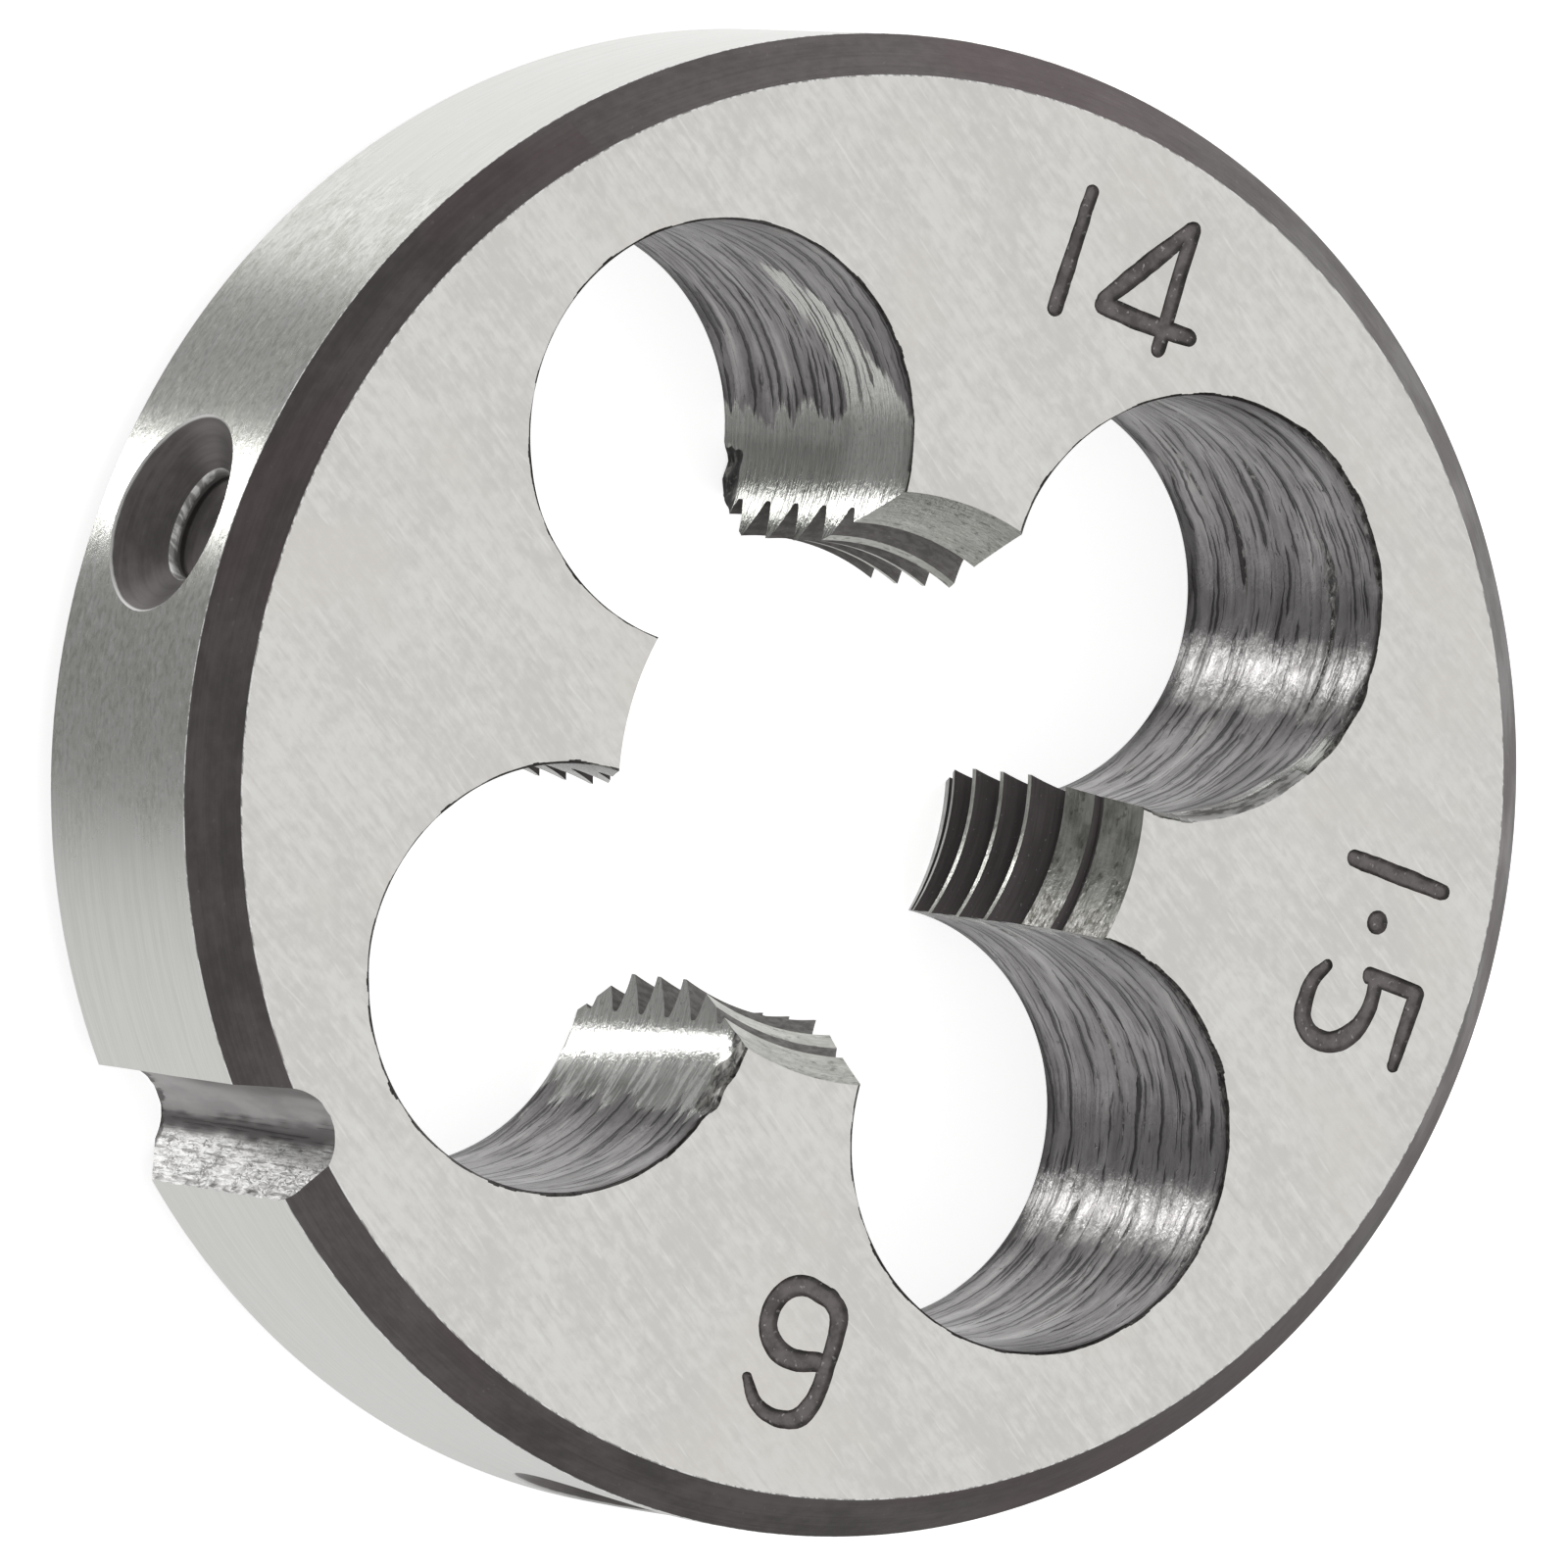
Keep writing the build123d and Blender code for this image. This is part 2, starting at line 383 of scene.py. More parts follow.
def notch_cutter():
    """V notch with a rounded root. One flank is torn, the other is smooth."""
    end = R_OUT + 1.0
    prof = []
    for k in range(17):
        x = end + (N_TX - end) * k / 16.0
        prof.append((x, -(x - N_APEX) * math.tan(NOTCH_HALF), -1.0))
    lo = math.pi + (math.pi / 2 - NOTCH_HALF)
    hi = math.pi - (math.pi / 2 - NOTCH_HALF)
    for k in range(1, 20):
        a = lo + (hi - lo) * k / 20.0
        prof.append((N_CX + NOTCH_RR * math.cos(a), NOTCH_RR * math.sin(a), math.sin(a)))
    for k in range(21):
        x = N_TX + (end - N_TX) * k / 20.0
        prof.append((x, (x - N_APEX) * math.tan(NOTCH_HALF), 1.0))
    n = len(prof)
    zs = np.concatenate([[-0.6, 0.0], np.linspace(0.10, THICK - 0.10, 92), [THICK, THICK + 0.6]])
    P = np.array([(x, y) for x, y, _ in prof])
    side = np.array([s for _, _, s in prof])
    T = np.gradient(P, axis=0)
    N = np.column_stack([T[:, 1], -T[:, 0]])
    N /= np.linalg.norm(N, axis=1)[:, None]
    L = np.concatenate([[0], np.cumsum(np.linalg.norm(np.diff(P, axis=0), axis=1))])
    S, Z = np.meshgrid(L, zs, indexing="ij")
    SD = np.repeat(side[:, None], len(zs), axis=1)
    rough = np.clip(SD * 1.6 - 0.1, 0.0, 1.0)
    d = 0.003 * noise2(S / 0.24 + 100, Z / 1.10, 400, 71) + 0.003 * noise2(S / 0.13 + 40, Z / 0.26, 400, 72)
    d += 0.04 * np.clip(noise2(S / 0.20 + 9, Z / 0.45, 400, 73) - 0.68, 0, 1)
    d += 0.16 * np.clip(noise2(S / 0.26 + 3, Z / 0.24, 400, 77) - 0.05, 0, 1) * np.clip((S - (L[-1] - 1.42)) / 0.18, 0, 1)
    fine = 0.008 * noise2(S / 0.35 + 60, Z / 2.6, 400, 74) + 0.004 * noise2(S / 0.12 + 60, Z / 1.1, 400, 75)
    d = d * rough + fine * (1 - rough)
    root = np.exp(-((SD + 0.05) / 0.42) ** 2)
    d += root * 0.020 * noise2(S / 0.14 + 20, Z / 1.6, 400, 76)
    fade = np.clip((S - L[0]) / 0.6, 0, 1) * np.clip((L[-1] - S) / 0.3, 0, 1)
    d *= fade
    X = P[:, 0][:, None] + N[:, 0][:, None] * d
    Y = P[:, 1][:, None] + N[:, 1][:, None] * d
    a = math.radians(270.0)
    WX = X * math.cos(a) - Y * math.sin(a)
    WY = X * math.sin(a) + Y * math.cos(a)
    verts = np.column_stack([WX.ravel(), WY.ravel(), Z.ravel()])
    nv = len(zs)
    faces = grid_faces(n, nv, True, False)
    reg = [NOTCH] * len(faces)
    faces.append(tuple(i * nv for i in reversed(range(n))))
    faces.append(tuple(i * nv + nv - 1 for i in range(n)))
    reg += [NOTCH, NOTCH]
    return make_object("notch_cutter", verts, faces, reg)


def recess_cutter(angle):
    """Cone, short pilot and drill point on a radial axis, with soft corners."""
    depth = (REC_MOUTH - REC_PILOT) / math.tan(REC_HALF)
    wall = R_OUT - depth
    floor = wall - REC_WALL
    point = floor - REC_PILOT / math.tan(REC_TIP)
    out = R_OUT + 1.0
    p = [(point, 0.012), (floor, REC_PILOT), (wall, REC_PILOT), (out, REC_MOUTH + math.tan(REC_HALF))]
    low = corner(p[0], p[1], p[2], 0.10, 4)
    lip = corner(p[1], p[2], p[3], 0.24, 8)
    prof = [p[0]] + low + lip
    kinds = [RECESS] * (len(prof) - 1)
    for k in range(len(low) + 1, len(prof) - 1):
        kinds[k] = EDGE
    kinds += [RECESS, RECESS]
    prof.append((R_OUT, REC_MOUTH))
    prof.append(p[3])
    n = len(prof)
    seg = 128
    er = np.array([math.cos(math.radians(angle)), math.sin(math.radians(angle)), 0.0])
    et = np.array([-er[1], er[0], 0.0])
    ez = np.array([0.0, 0.0, 1.0])
    base = np.array([0.0, 0.0, REC_Z])
    verts = []
    for i in range(seg):
        t = TAU * i / seg
        for x, r in prof:
            verts.append(base + er * x + et * (r * math.cos(t)) + ez * (r * math.sin(t)))
    faces = grid_faces(seg, n, True, False)
    reg = [kinds[j] for i in range(seg) for j in range(n - 1)]
    faces.append(tuple(i * n for i in reversed(range(seg))))
    faces.append(tuple(i * n + n - 1 for i in range(seg)))
    reg += [RECESS, RECESS]
    return make_object("recess_cutter", verts, faces, reg)


# ---- plain numerals, cut with a round-ended stroke -----------------------
def smooth_line(points, step=0.10):
    """Catmull-Rom curve through the points (x, y, width), evenly sampled."""
    p = [np.array(q, float) for q in points]
    if len(p) == 2:
        n = max(2, int(np.linalg.norm((p[1] - p[0])[:2]) / 0.30) + 1)
        return [p[0] + (p[1] - p[0]) * k / (n - 1) for k in range(n)]
    ext = [2 * p[0] - p[1]] + p + [2 * p[-1] - p[-2]]
    out = []
    for k in range(1, len(ext) - 2):
        a, b, c, d = ext[k - 1], ext[k], ext[k + 1], ext[k + 2]
        m = max(2, int(np.linalg.norm((c - b)[:2]) / step) + 1)
        for j in range(m):
            t = j / m
            out.append(0.5 * (2 * b + (c - a) * t + (2 * a - 5 * b + 4 * c - d) * t * t
                              + (3 * b - a - 3 * c + d) * t ** 3))
    out.append(p[-1])
    return out


def stroke(points, depth, seed, up_deg):
    """One engraved stroke in the local frame of a mark, as a closed cutter."""
    curve = smooth_line(points)
    line = [q[:2] for q in curve]
    halves = [q[2] / 2.0 for q in curve]
    n = len(line)
    tang = []
    for k in range(n):
        v = line[min(k + 1, n - 1)] - line[max(k - 1, 0)]
        tang.append(v / np.linalg.norm(v))
    lift = 0.12
    flare = lift * 0.55
    sec = [(1.0, None), (1.0, 0.0), (0.80, 0.62), (0.50, 0.92), (0.0, 1.0)]
    rng = np.random.RandomState(seed)
    wob = rng.uniform(-0.018, 0.018, 2 * n + 40)
    wob = np.convolve(wob, np.ones(3) / 3, "same")

    # outline ring: left side forward, cap, right side back, cap
    ring = []
    for k in range(n):
        nrm = np.array([-tang[k][1], tang[k][0]])
        ring.append((line[k], -nrm, halves[k] + wob[k]))
    caps = 9
    for j in range(1, caps):
        a = -math.pi / 2 + math.pi * j / caps
        t = tang[-1]
        nrm = np.array([-t[1], t[0]])
        ring.append((line[-1], t * math.cos(a) + nrm * math.sin(a), halves[-1] + wob[n + j]))
    for k in reversed(range(n)):
        nrm = np.array([-tang[k][1], tang[k][0]])
        ring.append((line[k], nrm, halves[k] + wob[n + caps + k]))
    for j in range(1, caps):
        a = math.pi / 2 + math.pi * j / caps
        t = tang[0]
        nrm = np.array([-t[1], t[0]])
        ring.append((line[0], t * math.cos(a) + nrm * math.sin(a), halves[0] + wob[2 * n + caps + j]))
    m = len(ring)
    verts, faces, reg = [], [], []
    levels = []
    for f, dz in sec[:-1]:
        idx = []
        for ctr, dirn, h in ring:
            if dz is None:
                q = ctr + dirn * (h + flare)
                z = THICK + lift
            else:
                q = ctr + dirn * (h * f)
                z = THICK - depth * dz
            idx.append(len(verts))
            verts.append((q[0], q[1], z))
        levels.append(idx)
    # centre line along the floor
    mid = []
    for k in range(n):
        mid.append(len(verts))
        verts.append((line[k][0], line[k][1], THICK - depth))
    for a, b in zip(levels[:-1], levels[1:]):
        for k in range(m):
            k2 = (k + 1) % m
            faces.append((a[k], b[k], b[k2], a[k2]))
            reg.append(MARK)
    low = levels[-1]
    for k in range(n - 1):
        faces.append((low[k], mid[k], mid[k + 1], low[k + 1]))
    for j in range(caps):
        faces.append((low[n - 1 + j], mid[n - 1], low[n + j]))
    off = n + caps - 1
    for k in range(n - 1):
        faces.append((low[off + k], mid[n - 1 - k], mid[n - 2 - k], low[off + k + 1]))
    last = off + n - 1
    for j in range(caps):
        faces.append((low[(last + j) % m], mid[0], low[(last + j + 1) % m]))
    faces.append(tuple(levels[0]))
    reg += [MARK] * (len(faces) - len(reg))
    up = math.radians(up_deg)
    uy = np.array([math.cos(up), math.sin(up)])
    ux = np.array([uy[1], -uy[0]])
    out = []
    for x, y, z in verts:
        q = ux * x + uy * y
        out.append((q[0], q[1], z))
    return make_object("stroke", out, faces, reg)


MARKS = [
    # up direction, strokes of (x, y, width)
    (135.0, [
        [(0.885, 16.08, 0.38), (0.84, 14.50, 0.42), (0.80, 12.98, 0.47)],
        [(3.98, 16.06, 0.44), (3.97, 12.88, 0.43)],
        [(3.93, 16.04, 0.42), (2.95, 14.75, 0.52), (2.10, 13.60, 0.46)],
        [(2.10, 13.46, 0.50), (3.40, 13.40, 0.52), (4.72, 13.42, 0.46)],
    ]),
    (45.0, [
        [(-2.22, 16.32, 0.42), (-2.26, 15.00, 0.50), (-2.30, 13.58, 0.46)],
        [(-0.945, 14.73, 0.60), (-0.925, 14.735, 0.60)],
        [(2.42, 16.34, 0.36), (1.40, 16.38, 0.44), (0.50, 16.42, 0.46)],
        [(0.46, 16.40, 0.44), (0.42, 14.98, 0.48)],
        [(0.50, 15.16, 0.44), (1.05, 15.21, 0.44), (1.62, 15.10, 0.50), (2.12, 14.78, 0.58), (2.39, 14.28, 0.56),
         (2.33, 13.75, 0.54), (1.98, 13.40, 0.50), (1.40, 13.34, 0.46), (0.92, 13.43, 0.42), (0.52, 13.68, 0.32)],
    ]),
    (315.0, [
        [(-1.00, 15.18, 0.28), (-1.36, 15.66, 0.36), (-1.82, 15.90, 0.42), (-2.38, 15.90, 0.46), (-2.80, 15.66, 0.54),
         (-3.03, 15.10, 0.50), (-3.09, 14.25, 0.46), (-3.10, 13.40, 0.50), (-2.97, 12.92, 0.54), (-2.62, 12.63, 0.52)],
        [(-2.68, 12.66, 0.52), (-1.92, 12.53, 0.54), (-1.42, 12.74, 0.54), (-1.14, 13.22, 0.52), (-1.16, 13.78, 0.54),
         (-1.50, 14.22, 0.58), (-2.10, 14.40, 0.56), (-2.82, 14.26, 0.50)],
    ]),
]


def volume(ob):
    bm = bmesh.new()
    bm.from_mesh(ob.data)
    v = bm.calc_volume(signed=True)
    bm.free()
    return v


def cut(ob, tool):
    if volume(tool) < 0:
        tool.data.flip_normals()
    mod = ob.modifiers.new("cut", "BOOLEAN")
    mod.operation = "DIFFERENCE"
    mod.solver = "MANIFOLD"
    mod.object = tool
    mod.material_mode = "INDEX"
    dg = bpy.context.evaluated_depsgraph_get()
    me = bpy.data.meshes.new_from_object(ob.evaluated_get(dg))
    old = ob.data
    ob.modifiers.clear()
    ob.data = me
    bpy.data.meshes.remove(old)
    td = tool.data
    bpy.data.objects.remove(tool)
    bpy.data.meshes.remove(td)


# ---- materials ----------------------------------------------------------
class Shade:
    """A metal with its nodes. Lengths in its textures are millimetres of the "mm" map."""

    def __init__(self, name, rough, stretch=0.0):
        self.m = bpy.data.materials.new(name)
        self.m.use_nodes = True
        self.t = self.m.node_tree
        self.b = self.t.nodes["Principled BSDF"]
        self.b.inputs["Metallic"].default_value = 1.0
        self.b.inputs["Roughness"].default_value = rough
        self.uv = self.node("ShaderNodeUVMap", uv_map="mm").outputs[0]
        if stretch:
            tan = self.node("ShaderNodeTangent", direction_type="UV_MAP", uv_map="mm")
            self.t.links.new(tan.outputs[0], self.b.inputs["Tangent"])
            self.b.inputs["Anisotropic"].default_value = stretch
            self.b.inputs["Anisotropic Rotation"].default_value = 0.25

    def node(self, kind, **props):
        n = self.t.nodes.new(kind)
        for k, v in props.items():
            setattr(n, k, v)
        return n

    def feed(self, socket, value):
        if isinstance(value, bpy.types.NodeSocket):
            self.t.links.new(value, socket)
        else:
            socket.default_value = value

    def math(self, op, a, b=0.0, c=0.0, clamp=False):
        n = self.node("ShaderNodeMath", operation=op, use_clamp=clamp)
        for s, v in zip(n.inputs, (a, b, c)):
            self.feed(s, v)
        return n.outputs[0]

    def add(self, a, b):
        return self.math("ADD", a, b)

    def mul(self, a, b):
        return self.math("MULTIPLY", a, b)

    def span(self, v, lo, hi, a=0.0, b=1.0, soft=True):
        """v from lo to hi becomes a to b."""
        n = self.node("ShaderNodeMapRange", interpolation_type="SMOOTHSTEP" if soft else "LINEAR")
        for s, x in zip(n.inputs, (v, lo, hi, a, b)):
            self.feed(s, x)
        return n.outputs[0]

    def mix(self, f, a, b):
        n = self.node("ShaderNodeMix", data_type="FLOAT")
        self.feed(n.inputs[0], f)
        self.feed(n.inputs[2], a)
        self.feed(n.inputs[3], b)
        return n.outputs[0]

    def tint(self, f, a, b):
        n = self.node("ShaderNodeMix", data_type="RGBA")
        self.feed(n.inputs[0], f)
        self.feed(n.inputs[6], (*a, 1.0) if isinstance(a, tuple) else a)
        self.feed(n.inputs[7], (*b, 1.0) if isinstance(b, tuple) else b)
        return n.outputs[2]

    def at(self, su, sv, ou=0.0, ov=0.0, vec=None):
        n = self.node("ShaderNodeVectorMath", operation="MULTIPLY_ADD")
        self.feed(n.inputs[0], vec or self.uv)
        n.inputs[1].default_value = (su, sv, 1.0)
        n.inputs[2].default_value = (ou, ov, 0.0)
        return n.outputs[0]

    def turned(self, degrees, vec=None):
        n = self.node("ShaderNodeVectorRotate", rotation_type="Z_AXIS")
        self.feed(n.inputs["Vector"], vec or self.uv)
        n.inputs["Angle"].default_value = math.radians(degrees)
        return n.outputs[0]

    def noise(self, vec, detail=2.0, rough=0.5, bend=0.0):
        n = self.node("ShaderNodeTexNoise", noise_dimensions="2D")
        self.feed(n.inputs["Vector"], vec)
        n.inputs["Scale"].default_value = 1.0
        n.inputs["Detail"].default_value = detail
        n.inputs["Roughness"].default_value = rough
        n.inputs["Distortion"].default_value = bend
        return n.outputs[0]

    def grain(self, su, sv, ou=0.0, ov=0.0, detail=2.0, rough=0.5, bend=0.0, vec=None):
        return self.noise(self.at(su, sv, ou, ov, vec), detail, rough, bend)

    def ridge(self, v, width, level=0.5):
        """1 along the lines where v crosses the level, 0 beside them."""
        return self.span(self.math("ABSOLUTE", self.math("SUBTRACT", v, level)), 0.0, width, 1.0, 0.0)

    def wander(self, su, sv, size, ou=0.0, ov=0.0, vec=None):
        """The map with its v pushed up and down, so lines along u wander."""
        w = self.mul(self.math("SUBTRACT", self.grain(su, sv, ou, ov, 2.0, vec=vec), 0.5), size)
        c = self.node("ShaderNodeCombineXYZ")
        self.feed(c.inputs[1], w)
        n = self.node("ShaderNodeVectorMath", operation="ADD")
        self.feed(n.inputs[0], vec or self.uv)
        self.feed(n.inputs[1], c.outputs[0])
        return n.outputs[0]

    def tears(self, vec, per_mm, seed, length, lo, hi, thick):
        """Separate lines along u, so many to a millimetre, that start, swell and end.
        Gives the line and the soft shade beside it."""
        sep = self.node("ShaderNodeSeparateXYZ")
        self.feed(sep.inputs[0], vec)
        x = self.math("MULTIPLY_ADD", sep.outputs[1], per_mm, seed)
        i = self.math("FLOOR", x)
        wn = self.node("ShaderNodeTexWhiteNoise", noise_dimensions="1D")
        self.feed(wn.inputs["W"], i)
        mid = self.span(wn.outputs[0], 0.0, 1.0, 0.26, 0.74, soft=False)
        dist = self.mul(self.math("ABSOLUTE", self.math("SUBTRACT", self.math("FRACT", x), mid)), 1.0 / per_mm)
        c = self.node("ShaderNodeCombineXYZ")
        self.feed(c.inputs[0], self.math("MULTIPLY_ADD", i, 7.31, self.mul(sep.outputs[0], 1.0 / length)))
        self.feed(c.inputs[1], self.mul(i, 3.7))
        g = self.span(self.noise(c.outputs[0], 1.5, 0.5), lo, hi)
        w = self.math("MAXIMUM", self.mul(g, thick), 0.0001)
        line = self.span(self.math("DIVIDE", dist, w), 0.40, 1.0, 1.0, 0.0)
        soft = self.mul(self.span(dist, 0.0, thick * 4.0, 1.0, 0.0), g)
        return line, soft

    def place(self):
        """Distance from the die's axis and height, in millimetres."""
        sep = self.node("ShaderNodeSeparateXYZ")
        self.feed(sep.inputs[0], self.node("ShaderNodeTexCoord").outputs["Object"])
        rr = self.add(self.mul(sep.outputs[0], sep.outputs[0]), self.mul(sep.outputs[1], sep.outputs[1]))
        return self.mul(self.math("SQRT", rr), 1000.0), self.mul(sep.outputs[2], 1000.0)

    def value_of(self, name):
        return self.node("ShaderNodeAttribute", attribute_name=name).outputs["Fac"]

    def bump(self, height, mm, under=None):
        n = self.node("ShaderNodeBump")
        n.inputs["Strength"].default_value = 1.0
        n.inputs["Distance"].default_value = mm * MM
        self.feed(n.inputs["Height"], height)
        if under is not None:
            self.feed(n.inputs["Normal"], under)
        return n.outputs[0]

    def done(self, color=None, rough=None, normal=None):
        for key, v in (("Base Color", color), ("Roughness", rough), ("Normal", normal)):
            if v is not None:
                self.feed(self.b.inputs[key], v)
        return self.m


def ground_face():
    """Surface-ground: faint parallel scratches of all lengths and soft clouds."""
    s = Shade("ground_face", 0.34, 0.35)
    w = s.wander(0.05, 0.1, 0.7, 3, 3)
    long = s.grain(0.06, 3.6, 3, 7, 3.0, 0.62, 0.0, w)
    short = s.grain(0.42, 7.5, 11, 2, 3.0, 0.62, 0.0, w)
    cloud = s.grain(0.30, 0.46, 5, 5, 3.0, 0.55, 0.3)
    fleck = s.grain(2.4, 3.4, 25, 15, 3.0, 0.6, 0.2)
    light, _ = s.tears(s.turned(4.0, w), 1.3, 30.0, 1.5, 0.58, 0.72, 0.045)
    other, _ = s.tears(s.turned(-5.0, w), 1.0, 130.0, 1.2, 0.60, 0.72, 0.040)
    light = s.math("MAXIMUM", light, other)
    dark, _ = s.tears(s.turned(-2.0, w), 0.9, 70.0, 1.3, 0.60, 0.72, 0.038)
    cross = s.grain(0.60, 5.0, 51, 62, 3.0, 0.66, 0.6, s.turned(7.0, w))
    other = s.grain(0.50, 4.2, 81, 32, 3.0, 0.66, 0.6, s.turned(-6.0, w))
    cross = s.add(s.mul(cross, 0.5), s.mul(other, 0.5))
    tone = s.add(s.add(s.mul(long, 0.11), s.mul(short, 0.15)), s.add(s.mul(cloud, 0.28), s.add(s.mul(fleck, 0.24), s.mul(cross, 0.20))))
    color = s.tint(s.span(tone, 0.40, 0.60), (0.562, 0.551, 0.528), (0.666, 0.659, 0.638))
    warm = s.span(s.grain(0.16, 0.22, 41, 9, 3.0, 0.6), 0.50, 0.70)
    color = s.tint(s.mul(warm, 0.45), color, (0.625, 0.600, 0.560))
    color = s.tint(s.mul(light, 0.35), color, (0.74, 0.735, 0.715))
    color = s.tint(s.mul(dark, 0.16), color, (0.42, 0.41, 0.40))
    rough = s.span(s.add(s.mul(long, 0.4), s.mul(cloud, 0.6)), 0.3, 0.7, 0.30, 0.40)
    h = s.add(s.add(s.mul(long, 0.12), s.mul(short, 0.30)), s.add(s.mul(fleck, 0.40), s.mul(cross, 0.42)))
    return s.done(color, rough, s.bump(h, 0.0036))


def ground_rim():
    """Cylinder-ground: lines round the rim. One stretch, by a screw recess, has darker olive clouds and flecks and a
    few bright flecks: partly a stain, partly painted shade and painted glints around the lamp's highlight.
    """
    s = Shade("ground_rim", 0.30, 0.72)
    line = s.grain(0.10, 7.0, 1, 3, 3.0, 0.6)
    fine = s.grain(0.7, 24.0, 9, 9, 2.0, 0.6)
    sep = s.node("ShaderNodeSeparateXYZ")
    s.feed(sep.inputs[0], s.uv)
    u = s.add(sep.outputs[0], s.mul(s.math("SUBTRACT", s.grain(0.5, 0.5, 4, 4, 3.0), 0.5), 7.0))
    where = s.mul(s.span(u, -58.5, -53.5), s.span(u, -41.5, -36.5, 1.0, 0.0))
    cloud = s.grain(0.75, 1.25, 4, 6, 4.0, 0.66, 0.5)
    fleck = s.grain(3.2, 5.0, 14, 26, 3.0, 0.65, 0.3)
    stain_and_painted_shade = s.mul(where, s.span(cloud, 0.40, 0.62))
    tone = s.add(s.mul(line, 0.5), s.mul(fine, 0.5))
    color = s.tint(s.span(tone, 0.3, 0.7), (0.575, 0.577, 0.548), (0.650, 0.650, 0.628))
    # Partly an olive stain, partly painted shade: darker clouds and flecks in the stretch around the lamp's highlight.
    color = s.tint(s.mul(stain_and_painted_shade, 0.42), color, (0.460, 0.468, 0.405))
    color = s.tint(s.mul(s.mul(where, s.span(fleck, 0.50, 0.66)), 0.48), color, (0.335, 0.340, 0.298))
    # Painted glints: bright flecks in that stretch.
    color = s.tint(s.mul(s.mul(where, s.span(fleck, 0.30, 0.42, 1.0, 0.0)), 0.50), color, (0.80, 0.80, 0.77))
    rough = s.mix(where, 0.28, s.span(cloud, 0.3, 0.7, 0.21, 0.28))
    grit = s.grain(7.0, 9.0, 3, 3, 2.0, 0.6)
    h = s.add(s.mul(line, 0.35), s.add(s.mul(fine, 0.25), s.mul(grit, s.mix(where, 0.10, 0.40))))
    return s.done(color, rough, s.bump(h, 0.005))


def dark_chamfer():
    """Turned before hardening and left dark: brown-grey oxide, satin."""
    s = Shade("dark_chamfer", 0.40, 0.4)
    line = s.grain(0.12, 9.0, 2, 2, 3.0, 0.6)
    cloud = s.grain(0.45, 0.9, 8, 1, 3.0)
    fleck = s.grain(2.2, 3.4, 18, 11, 3.0, 0.6)
    red = s.span(s.grain(0.10, 0.3, 20, 5, 2.0), 0.48, 0.66)
    tone = s.add(s.mul(line, 0.30), s.add(s.mul(cloud, 0.40), s.mul(fleck, 0.30)))
    color = s.tint(s.span(tone, 0.34, 0.66), (0.142, 0.128, 0.127), (0.200, 0.180, 0.178))
    color = s.tint(s.mul(red, 0.45), color, (0.168, 0.124, 0.126))
    speck = s.mul(s.span(s.grain(5.0, 6.0, 0, 0, 1.0), 0.74, 0.80), s.span(cloud, 0.5, 0.6))
    color = s.tint(s.mul(speck, 0.35), color, (0.28, 0.27, 0.26))
    return s.done(color, s.span(cloud, 0.3, 0.7, 0.34, 0.46), s.bump(s.add(s.mul(line, 0.6), s.mul(fleck, 0.8)), 0.006))


